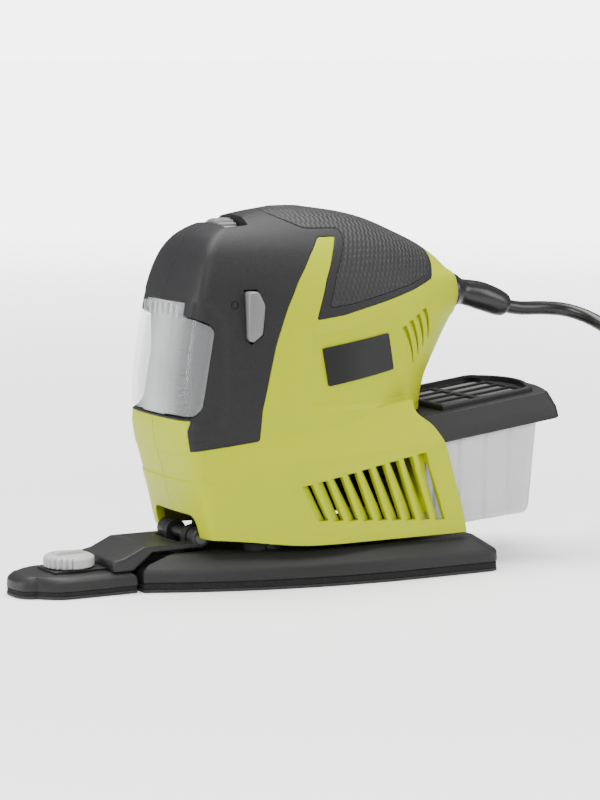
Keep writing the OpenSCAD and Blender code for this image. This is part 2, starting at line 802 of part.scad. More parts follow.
// Smooth points between hand-placed ones
function curve_at(a, b, c, d, t) = 0.5 * (2 * b + (c - a) * t + (2 * a - 5 * b + 4 * c - d) * t * t
  + (3 * b - a - 3 * c + d) * t * t * t);
function smooth(p, k) = concat(
  [for (i = [0 : len(p) - 2]) for (j = [0 : k - 1])
    curve_at(p[max(i - 1, 0)], p[i], p[i + 1], p[min(i + 2, len(p) - 1)], j / k)],
  [p[len(p) - 1]]);

BOOT = [[74, 0, 117], [78, 0, 116.9], [78.1, 0, 116.9], [84.2, 0, 116.4], [84.4, 0, 116.4],
  [88, 0, 116], [88.2, 0, 116], [94, 0, 114.8], [100, 0, 113], [106, 0, 110.8], [111.6, 0, 108.6]];
BOOT_R = [8, 8, 6, 6, 7.8, 7.2, 5.6, 6.1, 6.2, 5.9, 4.9];

module cord_boot() color(DARK) sweep(BOOT, BOOT_R, 20);

module cord_clamp() color(DARK) {
  block(64, 70, -12, 12, 121, 124);
  block(64, 70, -12, 12, 109, 113);
  for (s = [-1, 1]) block(64, 70, s * 8.5 - 3.5, s * 8.5 + 3.5, 112.9, 121.1);
}

module clamp_screws() color(STEEL)
  for (s = [-1, 1]) translate([67, s * 8.5, 124]) cylinder(r = 2.6, h = 1.8);

WIRE = [[60, 2, 114.7], [50, 7, 113.8], [38, 21, 111.5], [14, 27.6, 110.5], [-5, 27.9, 109],
  [-20, 25, 105], [-34, 16, 95], [-40, 8, 93]];

module lead_wires() color([0.1, 0.15, 0.4]) {
  translate([60.1, 0, 117]) rotate([0, 90, 0]) cylinder(r = 3.5, h = 13.9);
  for (s = [-1, 1]) sweep(smooth([for (p = WIRE) [p[0], s * p[1], p[2]]], 3), 1.2, 6);
}

// Route of the mains cord where it isn't coiled, and the short run from the coil to its plug
ROUTE = [[111.6, 0, 108.6], [120, 0, 107.2], [132, 0, 106.8], [143, -3, 105.5],
  [151, -12, 101.5], [154, -26, 95], [153, -41, 84], [149, -53, 67], [145, -58.5, 50],
  [143.5, -60, 34], [147, -61, 18], [156, -64.3, 7.5], [167, -68.4, 3.6]];
TAIL = [[158.8, -43.5, 13.2], [162, -51, 17.5], [169.5, -58, 22.3], [180, -61.8, 25.2]];
COIL = [201, -34];
COIL_MEAN = 34.5;

module power_cord() color(DARK) {
  sweep(smooth(ROUTE, 2), cord_d / 2, 12);
  sweep(smooth(TAIL, 2), cord_d / 2, 12);
}

module cord_coil() color(DARK) translate([COIL[0], COIL[1], 0])
  rotate_extrude() translate([COIL_MEAN - coil_columns * cord_d / 2, 0])
    square([coil_columns * cord_d, 2 * cord_d]);

module cord_tie() color(DARK) translate([COIL[0] + COIL_MEAN, COIL[1], 0]) difference() {
  translate([-coil_columns * cord_d / 2 - 1.5, -4, 0])
    cube([coil_columns * cord_d + 3, 8, 2 * cord_d + 1.5]);
  translate([-coil_columns * cord_d / 2 - 0.5, -5, -1])
    cube([coil_columns * cord_d + 0.5, 10, 2 * cord_d + 1.01]);
}

PLUG = [180, -62, 2 * cord_d + 12.9];

// Moulded plug that lies on the coil
module plug_body() color(DARK) translate(PLUG) rotate([0, 90, 0]) {
  cylinder(r1 = 5, r2 = 7, h = 10);
  translate([0, 0, 9.9]) linear_extrude(26) polygon([for (a = [0 : 20 : 340])
    [12.8 * cos(a), 17 * sin(a)]]);
}

module plug_pins() color(STEEL)
  for (s = [-1, 1]) translate(PLUG + [35.9, 9.5 * s, 0]) rotate([0, 90, 0])
    cylinder(r = 2.4, h = 18.9);

left_shell();
right_shell();
nose_left();
nose_right();
grip_pad();
badge_left();
badge_right();
housing_screws();
storage_tub();
stator_core();
field_coils();
motor_frame();
upper_carrier();
upper_bearing();
lower_bearing();
brush_holders();
carbon_brushes();
brush_springs();
switch_module();
speed_module();
dial_spindle();
lead_wires();
cord_boot();
cord_clamp();
clamp_screws();
dust_duct();
fan_shroud();
armature_shaft();
armature_core();
commutator();
fan();
counterweight();
platen_plate();
foam_pad();
hook_face();
platen_bearing();
flex_legs();
leg_screws();
pivot_bracket();
pivot_pin();
finger_arm_drilled();  // finger_arm
finger_plate();
finger_foam();
finger_hook_face();
knob_stud();
finger_knob();
power_bar();
speed_dial();
clear_cover();
dust_container();
box_seal();
dust_lid();
filter_frame();
filter_element();
power_cord();
cord_coil();
cord_tie();
plug_body();
plug_pins();
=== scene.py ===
import json
import math

import bpy
import bmesh
import numpy as np
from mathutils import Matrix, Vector


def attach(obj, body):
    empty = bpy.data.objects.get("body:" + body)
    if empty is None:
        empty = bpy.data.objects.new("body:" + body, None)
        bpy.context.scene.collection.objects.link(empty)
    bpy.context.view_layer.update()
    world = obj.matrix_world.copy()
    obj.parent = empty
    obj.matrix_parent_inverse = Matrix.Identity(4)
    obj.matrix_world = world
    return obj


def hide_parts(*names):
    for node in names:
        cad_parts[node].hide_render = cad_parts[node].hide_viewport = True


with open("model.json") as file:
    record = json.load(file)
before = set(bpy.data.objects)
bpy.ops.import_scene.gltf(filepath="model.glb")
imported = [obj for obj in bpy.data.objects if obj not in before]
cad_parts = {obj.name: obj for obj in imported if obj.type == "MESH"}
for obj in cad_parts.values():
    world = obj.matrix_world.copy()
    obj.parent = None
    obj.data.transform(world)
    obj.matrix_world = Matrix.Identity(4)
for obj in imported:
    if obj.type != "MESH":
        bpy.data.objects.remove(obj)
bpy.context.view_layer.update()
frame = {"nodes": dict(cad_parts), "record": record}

bl_info = {
    "name": "Detail Sander",
    "version": (1, 0, 0),
    "blender": (4, 5, 0),
    "location": "View3D > Sidebar > Sander",
    "description": "Builds the visual model of a detail sander round its packed frame",
    "category": "Object",
}

MM = 0.001
FINE = 1.0

# Profiles of the housing against height, in millimetres, as in the part's own source
FRONT = [(16, -50.5), (22, -52), (35, -54.5), (50, -58.5), (60, -61), (68, -62), (77, -62),
         (112, -57.5), (118, -56.5), (126, -54.5), (137, -50.5), (143.5, -46), (147, -41.5),
         (150, -34.5), (153.8, -21), (156, -8)]
REAR = [(16, 62), (69, 62.5), (81, 65), (88, 68.5), (95, 72.6), (106, 79.4), (109, 82),
        (116.5, 84.3), (122, 83.4), (125, 81.8), (127, 78.5), (133, 71.5), (138.6, 62.9),
        (145, 49.3), (150, 37), (153, 25.5), (156, 6)]
WIDTH = [(16, 36.5), (70, 36.5), (100, 34.5), (120, 33), (130, 30.5), (138, 26.5), (145, 21),
         (150, 15.5), (153.5, 10.5), (156, 4)]
CORNER = [(16, 28), (60, 27.5), (112, 27), (126, 26), (137, 23.2), (143.5, 19.5), (150, 12.5),
          (156, 3)]
WIDEST = [(16, 10), (120, 10), (145, 4), (156, 0)]
SKIRT = [(0, 0, -1), (8, 0, 0), (20, 0.02, 0), (36.5, 0.065, 0), (48.5, 0.13, -5.5),
         (52, 0.13, -7)]
NOSE_LINE = [(-80, 58), (-57, 58.2), (-43.4, 59.7), (-29.1, 61.5), (-27.9, 73.9), (-24.5, 87.4),
             (-21, 100.9), (-15.6, 115.4), (-9.8, 126.5), (-2.6, 136.2), (4.1, 143.8),
             (12.6, 143.8), (8.7, 137), (3.2, 126.1), (-2.1, 110.3), (10.3, 111.8), (16.1, 113.2),
             (34, 117.2), (47.2, 120.6), (59, 124.6), (61.8, 129.3), (63.6, 134.5), (64.5, 140),
             (64.5, 170), (-80, 170)]
GRIP_LINE = [(15.3, 147.1), (16.9, 144.9), (15.6, 140.6), (8.4, 128.3), (3.8, 115), (14.3, 116.2),
             (30.7, 119.6), (45.9, 122.9), (56.4, 126.2), (59.3, 129), (60.6, 133), (61.8, 138),
             (61.8, 170), (-14, 170), (-14, 154.5), (-9.8, 151.9), (-0.3, 147.4)]
COVER_LINE = [(-80, 71.4), (-56.2, 71.4), (-52.6, 75.2), (-46.8, 107), (-48, 109.6),
              (-57, 113.6), (-80, 114)]
COVER_PIECE = [(-80, 72.6), (-56.5, 72.6), (-53.2, 75.8), (-47.5, 106.6), (-48.6, 108.8),
               (-57, 112.8), (-80, 113)]
TAB_HALF = 17.0
SWITCH_MARK = (-38.4, 117.5)
BUTTON = [(-33.7, 103.4), (-31.8, 101.7), (-27, 105), (-25.8, 117.3), (-28.9, 123.1),
          (-33.7, 123.1)]
DIAL = (-30, 137.6)
BADGE_LINE = [(2.5, 82.4), (36.2, 87.6), (33.4, 103), (0.4, 98.2)]
LABEL_PANEL = [(-10.2, 73), (-4.2, 106.5), (37, 112.5), (48, 73)]
VENT_PANEL = [(-18, 45.3), (44, 56.3), (55.5, 20.8), (-8.3, 20.8)]


# ---------------------------------------------------------------- numbers and outlines

def smooth_lookup(table, x):
    """A value from a table of given points, along a smooth curve that doesn't overshoot."""
    if x <= table[0][0]:
        return table[0][1]
    if x >= table[-1][0]:
        return table[-1][1]
    k = max(i for i, p in enumerate(table) if p[0] <= x)
    (x0, y0), (x1, y1) = table[k], table[k + 1]
    here = (y1 - y0) / (x1 - x0)

    def slope_at(i):
        """Slope of the table at one of its points."""
        if i <= 0 or i >= len(table) - 1:
            return here
        a = (table[i][1] - table[i - 1][1]) / (table[i][0] - table[i - 1][0])
        b = (table[i + 1][1] - table[i][1]) / (table[i + 1][0] - table[i][0])
        return 0.0 if a * b <= 0 else 2 * a * b / (a + b)

    m0, m1 = slope_at(k), slope_at(k + 1)
    h = x1 - x0
    t = (x - x0) / h
    return ((2 * t**3 - 3 * t**2 + 1) * y0 + (t**3 - 2 * t**2 + t) * h * m0
            + (3 * t**2 - 2 * t**3) * y1 + (t**3 - t**2) * h * m1)


def offset_outline(points, d):
    """A counter-clockwise or clockwise polygon moved outward by d, with mitred corners."""
    p = [Vector(q) for q in points]
    n = len(p)
    area = sum(p[i - 1].x * p[i].y - p[i].x * p[i - 1].y for i in range(n))
    sign = 1 if area > 0 else -1
    out = []
    for i in range(n):
        a = (p[i] - p[i - 1]).normalized()
        b = (p[(i + 1) % n] - p[i]).normalized()
        na, nb = Vector((a.y, -a.x)) * sign, Vector((b.y, -b.x)) * sign
        m = (na + nb)
        m = m / max(m.length_squared / 2, 0.2)
        out.append((p[i].x + m.x * d, p[i].y + m.y * d))
    return out


def rounded_outline(points, radius, steps=6):
    """A polygon with its corners replaced by arcs."""
    p = [Vector(q) for q in points]
    out = []
    for i in range(len(p)):
        a, b, c = p[i - 1], p[i], p[(i + 1) % len(p)]
        u, v = (a - b), (c - b)
        r = min(radius, 0.45 * u.length, 0.45 * v.length)
        s, e = b + u.normalized() * r, b + v.normalized() * r
        for k in range(steps + 1):
            t = k / steps
            out.append(tuple(s * (1 - t) ** 2 + b * 2 * t * (1 - t) + e * t * t))
    return out


def distance_inside(points, x, z):
    """Signed distance from (x, z) arrays to a polygon's edge, positive inside."""
    px, pz = np.array(points).T
    best = np.full(x.shape, 1e9)
    inside = np.zeros(x.shape, bool)
    for i in range(len(px)):
        ax, az, bx, bz = px[i - 1], pz[i - 1], px[i], pz[i]
        dx, dz = bx - ax, bz - az
        t = np.clip(((x - ax) * dx + (z - az) * dz) / (dx * dx + dz * dz), 0, 1)
        best = np.minimum(best, np.hypot(x - ax - t * dx, z - az - t * dz))
        cross = (az > z) != (bz > z)
        with np.errstate(divide="ignore", invalid="ignore"):
            inside ^= cross & (x < (bx - ax) * (z - az) / (bz - az) + ax)
    return np.where(inside, best, -best)


def soft_step(x, width):
    """Smooth rise from 0 to 1 over a width."""
    t = np.clip(x / width, 0, 1)
    return t * t * (3 - 2 * t)


# ---------------------------------------------------------------- meshes

def make_object(name, verts, faces, scale=MM):
    mesh = bpy.data.meshes.new(name)
    mesh.from_pydata([tuple(c * scale for c in v) for v in verts], [], faces)
    mesh.update()
    obj = bpy.data.objects.new(name, mesh)
    bpy.context.scene.collection.objects.link(obj)
    return obj


def loft(name, rings):
    """A closed solid through rings of points, with its faces turned outward."""
    n, m = len(rings[0]), len(rings)
    verts = [tuple(p) for r in rings for p in r]
    faces = [tuple(reversed(range(n))), tuple((m - 1) * n + i for i in range(n))]
    for k in range(m - 1):
        for i in range(n):
            j = (i + 1) % n
            faces.append((k * n + i, k * n + j, (k + 1) * n + j, (k + 1) * n + i))
    obj = make_object(name, verts, faces)
    bm = bmesh.new()
    bm.from_mesh(obj.data)
    if bm.calc_volume(signed=True) < 0:
        bmesh.ops.reverse_faces(bm, faces=bm.faces)
        bm.to_mesh(obj.data)
    bm.free()
    return obj


def prism(name, outline, y0, y1):
    """A side-view outline of (x, z) points carried from y0 to y1."""
    area = sum(outline[i - 1][0] * outline[i][1] - outline[i][0] * outline[i - 1][1]
               for i in range(len(outline)))
    pts = outline if area > 0 else outline[::-1]
    return loft(name, [[(x, y1, z) for x, z in pts], [(x, y0, z) for x, z in pts]])


def slab(name, x0, x1, y0, y1, z0, z1):
    return prism(name, [(x0, z0), (x1, z0), (x1, z1), (x0, z1)], y0, y1)


def rod(name, base, tip, r0, r1=None, sides=48):
    """A straight round bar or cone between two points."""
    a, b = Vector(base), Vector(tip)
    d = (b - a).normalized()
    s = d.cross(Vector((0, 0, 1)) if abs(d.z) < 0.9 else Vector((0, 1, 0))).normalized()
    u = d.cross(s)
    rings = []
    for p, r in ((a, r0), (b, r0 if r1 is None else r1)):
        rings.append([p + r * (math.cos(t) * s + math.sin(t) * u)
                      for t in (2 * math.pi * i / sides for i in range(sides))])
    return loft(name, rings)


def lathe(name, profile, centre, axis, sides=72):
    """A turned solid: profile holds (distance along axis, radius) pairs."""
    c, d = Vector(centre), Vector(axis).normalized()
    s = d.cross(Vector((0, 0, 1)) if abs(d.z) < 0.9 else Vector((0, 1, 0))).normalized()
    u = d.cross(s)
    return loft(name, [[c + d * h + max(r, 0.02) * (math.cos(t) * s + math.sin(t) * u)
                        for t in (2 * math.pi * i / sides for i in range(sides))]
                       for h, r in profile])


def shaped(obj, kind, **settings):
    """Changes a solid's mesh for good with one modifier."""
    mod = obj.modifiers.new("shape", kind)
    for key, value in settings.items():
        setattr(mod, key, value)
    graph = bpy.context.evaluated_depsgraph_get()
    result = bpy.data.meshes.new_from_object(obj.evaluated_get(graph))
    obj.modifiers.remove(mod)
    old = obj.data
    obj.data = result
    bpy.data.meshes.remove(old)
    return obj


def boolean(obj, other, operation):
    """Joins, cuts or intersects two closed solids, and uses up the second."""
    shaped(obj, "BOOLEAN", operation=operation, object=other, solver="MANIFOLD")
    discard(other)
    if not obj.data.polygons:
        raise RuntimeError(f"{obj.name} came out empty from {operation}")
    return obj


def cut(obj, other):
    return boolean(obj, other, "DIFFERENCE")


def join(obj, other):
    return boolean(obj, other, "UNION")


def common(obj, other):
    return boolean(obj, other, "INTERSECT")


def discard(obj):
    mesh = obj.data
    bpy.data.objects.remove(obj)
    bpy.data.meshes.remove(mesh)


def duplicate(obj, name):
    new = obj.copy()
    new.data = obj.data.copy()
    new.name = name
    bpy.context.scene.collection.objects.link(new)
    return new


def soften(obj, angle=32):
    """Smooth shading with sharp edges kept where the surface turns by more than angle."""
    mesh = obj.data
    bm = bmesh.new()
    bm.from_mesh(mesh)
    bmesh.ops.remove_doubles(bm, verts=bm.verts, dist=0.004 * MM)
    bmesh.ops.dissolve_degenerate(bm, edges=bm.edges, dist=0.004 * MM)
    bm.to_mesh(mesh)
    bm.free()
    mesh.shade_smooth()
    mesh.set_sharp_from_angle(angle=math.radians(angle))
    return obj


def bevelled(obj, width):
    """Rounds a plain solid's sharp edges."""
    return shaped(obj, "BEVEL", width=width * MM, segments=3, limit_method="ANGLE",
                  angle_limit=math.radians(30), harden_normals=False)


def finish_piece(obj, body, slot, replaces=(), angle=32, finish=None):
    """Shades a piece, gives it its finish and seats it on its body."""
    soften(obj, angle)
    obj.data.materials.clear()
    obj.data.materials.append(MATERIALS[finish or slot])
    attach(obj, body)
    if replaces:
        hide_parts(*replaces)
    return obj


# ---------------------------------------------------------------- materials

MATERIALS = {}


def link(tree, a, b):
    tree.links.new(a, b)


def base_material(name, colour, roughness, specular=0.5):
    mat = bpy.data.materials.new(name)
    mat.use_nodes = True
    bsdf = mat.node_tree.nodes["Principled BSDF"]
    bsdf.inputs["Base Color"].default_value = (*colour[:3], 1)
    bsdf.inputs["Roughness"].default_value = roughness
    bsdf.inputs["Specular IOR Level"].default_value = specular
    return mat, mat.node_tree, bsdf


def object_coordinates(tree, scale=(1, 1, 1)):
    coord = tree.nodes.new("ShaderNodeTexCoord")
    mapping = tree.nodes.new("ShaderNodeMapping")
    mapping.inputs["Scale"].default_value = scale
    link(tree, coord.outputs["Object"], mapping.inputs["Vector"])
    return mapping.outputs["Vector"]


def axes(tree, vector):
    parts = tree.nodes.new("ShaderNodeSeparateXYZ")
    link(tree, vector, parts.inputs["Vector"])
    return parts.outputs


def worked_out(tree, operation, *values):
    """A Math node whose inputs are sockets or plain numbers."""
    node = tree.nodes.new("ShaderNodeMath")
    node.operation = operation
    for socket, value in zip(node.inputs, values):
        if isinstance(value, (int, float)):
            socket.default_value = value
        else:
            link(tree, value, socket)
    return node.outputs[0]


def noise(tree, vector, scale, detail=3, rough=0.5):
    n = tree.nodes.new("ShaderNodeTexNoise")
    n.inputs["Scale"].default_value = scale
    n.inputs["Detail"].default_value = detail
    n.inputs["Roughness"].default_value = rough
    link(tree, vector, n.inputs["Vector"])
    return n.outputs["Fac"]


def map_range(tree, value, low, high, from_low=0.0, from_high=1.0):
    m = tree.nodes.new("ShaderNodeMapRange")
    m.inputs["From Min"].default_value = from_low
    m.inputs["From Max"].default_value = from_high
    for name, end in (("To Min", low), ("To Max", high)):
        if isinstance(end, (int, float)):
            m.inputs[name].default_value = end
        else:
            link(tree, end, m.inputs[name])
    link(tree, value, m.inputs["Value"])
    return m.outputs["Result"]


def tinted(tree, bsdf, value, colour, dark, bright):
    """Lets the base colour run between a darker and a brighter shade of one colour."""
    mix = tree.nodes.new("ShaderNodeMix")
    mix.data_type = "RGBA"
    for socket, factor in ((mix.inputs[6], dark), (mix.inputs[7], bright)):
        socket.default_value = (*(min(1.0, c * factor) for c in colour[:3]), 1)
    link(tree, value, mix.inputs[0])
    link(tree, mix.outputs[2], bsdf.inputs["Base Color"])


def add_bump(tree, bsdf, height, strength, depth_mm, rounding_mm=0.0):
    """Raises a fine relief, and rounds the edges it lies on."""
    bump = tree.nodes.new("ShaderNodeBump")
    bump.inputs["Strength"].default_value = strength
    bump.inputs["Distance"].default_value = depth_mm * MM
    link(tree, height, bump.inputs["Height"])
    if rounding_mm:
        bevel = tree.nodes.new("ShaderNodeBevel")
        bevel.samples = 6
        bevel.inputs["Radius"].default_value = rounding_mm * MM
        link(tree, bevel.outputs["Normal"], bump.inputs["Normal"])
    link(tree, bump.outputs["Normal"], bsdf.inputs["Normal"])


def moulded_plastic(name, colour, roughness, grain_mm=0.35, depth_mm=0.02, rounding_mm=0.35,
                    variation=0.06, specular=0.5):
    """Moulded plastic: faint colour drift, or speckle where it is spark-textured, and grain."""
    mat, tree, bsdf = base_material(name, colour, roughness, specular)
    vector = object_coordinates(tree)
    grain = noise(tree, vector, 1 / (grain_mm * MM), 2, 0.6)
    drift = noise(tree, vector, 60, 2) if variation < 0.1 else map_range(tree, grain, -0.6, 1.6)
    tinted(tree, bsdf, drift, colour, 1 - variation, 1 + variation)
    link(tree, map_range(tree, grain, roughness - 0.05, roughness + 0.07),
         bsdf.inputs["Roughness"])
    add_bump(tree, bsdf, grain, 0.6, depth_mm, rounding_mm)
    return mat


def lattice_rubber(name, colour, roughness, pitch_mm=2.3, depth_mm=0.3):
    """Soft grip rubber with a raised lozenge pattern, painted darker in its hollows and lighter on
    its tops as shade and highlight.
    """
    mat, tree, bsdf = base_material(name, colour, roughness, 0.3)
    vector = object_coordinates(tree)
    place = axes(tree, vector)
    turn = math.pi / (pitch_mm * MM)
    waves = [worked_out(tree, "SINE", worked_out(tree, "MULTIPLY", place[axis], k))
             for axis, k in (("X", 2 * turn), ("Z", turn))]
    height = map_range(tree, worked_out(tree, "MULTIPLY", *waves), 0, 1, -0.25, 0.55)
    relief = worked_out(tree, "MULTIPLY_ADD", noise(tree, vector, 2600, 2), 0.12, height)
    # Painted shade and highlight: the base colour darkens in the pattern's hollows and lightens on
    # its raised tops.
    tinted(tree, bsdf, height, colour, 0.82, 1.1)
    link(tree, map_range(tree, height, roughness + 0.1, roughness - 0.03),
         bsdf.inputs["Roughness"])
    add_bump(tree, bsdf, relief, 0.9, depth_mm, 0.4)
    return mat


def clear_plastic(name, colour, alpha, roughness, streak=0.0, sides=None):
    """Thin clear or frosted plastic: see-through with a glossy skin; given sides, it lets less
    through in its middle, a painted highlight band.
    """
    mat, tree, bsdf = base_material(name, colour, roughness, 0.6)
    vector = object_coordinates(tree)
    haze = noise(tree, vector, 90, 2)
    haze_and_painted_sheen = map_range(tree, haze, alpha - 0.05, alpha + 0.05)
    if sides is not None:
        across = worked_out(tree, "ABSOLUTE", axes(tree, vector)["Y"])
        # Painted highlight band: the alpha runs from sides where |y| is 21 mm or more up to the
        # haze within 2 mm of the middle, so the middle lets less of the dark inside through and
        # shows lighter.
        haze_and_painted_sheen = map_range(tree, map_range(tree, across, 1, 0, 0.002, 0.021), sides, haze_and_painted_sheen)
    link(tree, haze_and_painted_sheen, bsdf.inputs["Alpha"])
    add_bump(tree, bsdf, noise(tree, vector, 1500, 2), 0.25, 0.01, 0.3)
    if streak:
        link(tree, map_range(tree, haze, roughness, roughness + streak),
             bsdf.inputs["Roughness"])
    return mat


def foam_material(name, colour, cell_mm=0.5):
    mat, tree, bsdf = base_material(name, colour, 0.9, 0.2)
    cells = tree.nodes.new("ShaderNodeTexVoronoi")
    cells.inputs["Scale"].default_value = 1 / (cell_mm * MM)
    link(tree, object_coordinates(tree), cells.inputs["Vector"])
    tinted(tree, bsdf, cells.outputs["Distance"], colour, 0.6, 1.5)
    add_bump(tree, bsdf, cells.outputs["Distance"], 0.8, 0.25, 0.3)
    return mat


def abrasive_material(name, colour, grit_mm=0.28):
    """Abrasive grit glued to a backing."""
    mat, tree, bsdf = base_material(name, colour, 0.85, 0.4)
    grit = noise(tree, object_coordinates(tree), 1 / (grit_mm * MM), 4, 0.7)
    tinted(tree, bsdf, map_range(tree, grit, 0, 1, 0.35, 0.7), colour, 0.5, 2.2)
    add_bump(tree, bsdf, grit, 1.0, 0.12)
    return mat


def metal_material(name, colour, roughness, brushed=(1, 1, 1)):
    mat, tree, bsdf = base_material(name, colour, roughness)
    bsdf.inputs["Metallic"].default_value = 1.0
    streaks = noise(tree, object_coordinates(tree, brushed), 1800, 3)
    link(tree, map_range(tree, streaks, roughness - 0.08, roughness + 0.12),
         bsdf.inputs["Roughness"])
    tinted(tree, bsdf, streaks, colour, 0.88, 1.06)
    add_bump(tree, bsdf, streaks, 0.2, 0.01, 0.2)
    return mat


def pleated_paper(name, colour):
    mat, tree, bsdf = base_material(name, colour, 0.85, 0.2)
    fibres = noise(tree, object_coordinates(tree), 1400, 4)
    tinted(tree, bsdf, fibres, colour, 0.82, 1.05)
    add_bump(tree, bsdf, fibres, 0.4, 0.05)
    return mat


def make_materials(c):
    # Roughness, grain and its depth, edge rounding, colour variation and specular level
    for key, name, colour, *finish in (
            ("lime_shell", "lime shell plastic", c.shell, 0.4, 0.5, 0.010, 0.6, 0.03, 0.15),
            ("dark_nose", "textured nose plastic", c.nose, 0.5, 0.55, 0.22, 0.6, 0.25, 0.25),
            ("badge", "badge plastic", c.badge, 0.34, 0.5, 0.006, 0.2, 0.06, 0.3),
            ("button_grey", "grey button plastic", c.button, 0.42, 0.4, 0.012, 0.5),
            ("knob_pale", "pale knob plastic", c.knob, 0.45, 0.4, 0.012, 0.4),
            ("black_plastic", "black moulded plastic", c.pad, 0.5, 0.4, 0.06, 0.4, 0.15, 0.3),
            ("lid_plastic", "grained lid plastic", c.lid, 0.5, 0.5, 0.09, 0.4, 0.15, 0.3),
            ("arm_plastic", "grey arm plastic", c.arm, 0.45, 0.4, 0.04, 0.4, 0.12, 0.3),
            ("cord_rubber", "cord rubber", c.cord, 0.3, 0.6, 0.012, 0.3, 0.1, 0.4),
            ("carbon", "pressed carbon", (0.05, 0.05, 0.052), 0.6, 0.3, 0.03),
            ("circuit_board", "circuit board", (0.04, 0.16, 0.08), 0.4, 0.8, 0.02),
            ("wire", "wire jacket", (0.05, 0.09, 0.3), 0.4, 0.5, 0.01)):
        MATERIALS[key] = moulded_plastic(name, colour, *finish)
    MATERIALS.update({
        "soft_grip": lattice_rubber("patterned grip rubber", c.grip, 0.48),
        # The clear cover's sides setting gives it a painted highlight band down its middle.
        "clear_plastic": clear_plastic("clear cover plastic", c.cover, 0.6, 0.12, sides=0.14),
        "smoke_plastic": clear_plastic("frosted box plastic", c.container, 0.72, 0.3, 0.1),
        "foam": foam_material("pad foam", c.foam),
        "hook_fabric": abrasive_material("abrasive face", c.abrasive),
        "steel": metal_material("machined steel", (0.62, 0.62, 0.64), 0.3),
        "blackened_steel": metal_material("blackened steel", (0.09, 0.09, 0.092), 0.45),
        "copper": metal_material("enamelled copper", (0.72, 0.33, 0.14), 0.35, (1, 1, 8)),
        "brass": metal_material("brass", (0.78, 0.6, 0.26), 0.28),
        "filter_screen": pleated_paper("filter screen", (0.16, 0.16, 0.165)),
        "filter_paper": pleated_paper("filter paper", (0.82, 0.81, 0.77)),
    })


# ---------------------------------------------------------------- the housing's surface

REAR_STEPS = int(44 * FINE)
SIDE_STEPS = int(46 * FINE)
FRONT_STEPS = int(14 * FINE)


def half_section(f, r, w, c, m, n, off):
    """Half of a level outline, from the rear round to the front."""
    pts = []
    for i in range(REAR_STEPS):
        t = math.radians(90 * i / REAR_STEPS)
        pts.append((m + (r - off - m) * math.cos(t) ** (2 / n), (w - off) * math.sin(t) ** (2 / n)))
    for i in range(SIDE_STEPS):
        t = i / SIDE_STEPS
        pts.append((m + (f + off + 2.5 - m) * t,
                    c - off + (w - c) * math.sin(math.radians(90 * (1 - t)))))
    for i in range(FRONT_STEPS + 1):
        k = 1 - i / FRONT_STEPS
        pts.append((f + off + 2.5 * k * k, (c - off) * k))
    h = np.array(pts)
    corner = REAR_STEPS + SIDE_STEPS
    for _ in range(5):
        lo, hi = corner - 3, min(corner + 4, len(h) - 1)
        h[lo:hi] = 0.25 * h[lo - 1:hi - 1] + 0.5 * h[lo:hi] + 0.25 * h[lo + 1:hi + 1]
    return h


def whole_section(h):
    """A half section with its mirror image."""
    mirrored = h[-2:0:-1] * np.array([1, -1])
    return np.vstack([h, mirrored])


def upper_rings(off):
    """Level outlines of the upper housing, moved in by off."""
    top = 156 - off
    heights = np.concatenate([np.linspace(56, 140, int(66 * FINE)),
                              156 - 16 * (1 - np.linspace(0, 1, int(34 * FINE))[1:]) ** 1.8])
    rings = []
    for z in heights:
        c = smooth_lookup(CORNER, z)
        s = whole_section(half_section(
            smooth_lookup(FRONT, z), smooth_lookup(REAR, z), smooth_lookup(WIDTH, z), c,
            smooth_lookup(WIDEST, z), 2, min(off, c - 0.4)))
        h = 56 + (top - 56) * (z - 56) / 100
        rings.append(np.column_stack([s, np.full(len(s), h)]))
    return np.array(rings)


def skirt_rings(off, base):
    """Level outlines of the skirt, from its base up."""
    levels = np.linspace(0, 52, int(60 * FINE))
    slopes = [(q[0], q[1]) for q in SKIRT]
    widths = [(q[0], q[2]) for q in SKIRT]
    rings = []
    for q in levels:
        slope = float(np.interp(q, *zip(*slopes)))
        wide = float(np.interp(q, *zip(*widths)))
        for dq in (-1.2, 1.2):
            wide += 0.25 * (float(np.interp(q + dq, *zip(*widths))) - wide)
        z = base + q * (1 - max(off, 0) / 60)
        f = smooth_lookup(FRONT, z - 55 * slope) + (0.5 if q > 30 else 0)
        s = whole_section(half_section(f, 86, 42 + wide, 28, 10, 9, off))
        rise = 3.6 * soft_step(-5 - s[:, 0], 44) * max(0.0, 1 - q / 24)
        rings.append(np.column_stack([s, z + slope * s[:, 0] + rise]))
    return np.array(rings)


def pressed_in(rings, areas):
    """Presses soft-edged areas, seen from the side, into a lofted surface."""
    up = np.gradient(rings, axis=0)
    along = np.roll(rings, -1, axis=1) - np.roll(rings, 1, axis=1)
    normal = np.cross(along, up)
    normal /= np.maximum(np.linalg.norm(normal, axis=2, keepdims=True), 1e-9)
    x, y, z = rings[..., 0], rings[..., 1], rings[..., 2]
    depth = np.zeros(x.shape)
    for outline, amount, width, low, high in areas:
        inside = distance_inside(outline, x, z)
        within = (np.abs(y) >= low) & (np.abs(y) <= high)
        depth += amount * soft_step(inside, width) * within
    return rings - normal * depth[..., None]


LABEL_PRESS = (LABEL_PANEL, 1.5, 2.6, 20, 60)
COVER_SIDE = [(-80, 66), (-44, 66), (-41, 76), (-40.5, 112), (-47, 119), (-56, 123), (-80, 123)]


def upper_surface():
    """Upper housing with its pressed panels."""
    return pressed_in(upper_rings(0), [
        LABEL_PRESS,
        (COVER_SIDE, 1.0, 4.0, 23.5, 60),
    ])


def skirt_surface():
    """Skirt with its pressed vent panel."""
    return pressed_in(skirt_rings(0, 17), [(VENT_PANEL, 0.9, 1.2, 30, 60)])


WALL = 3.6


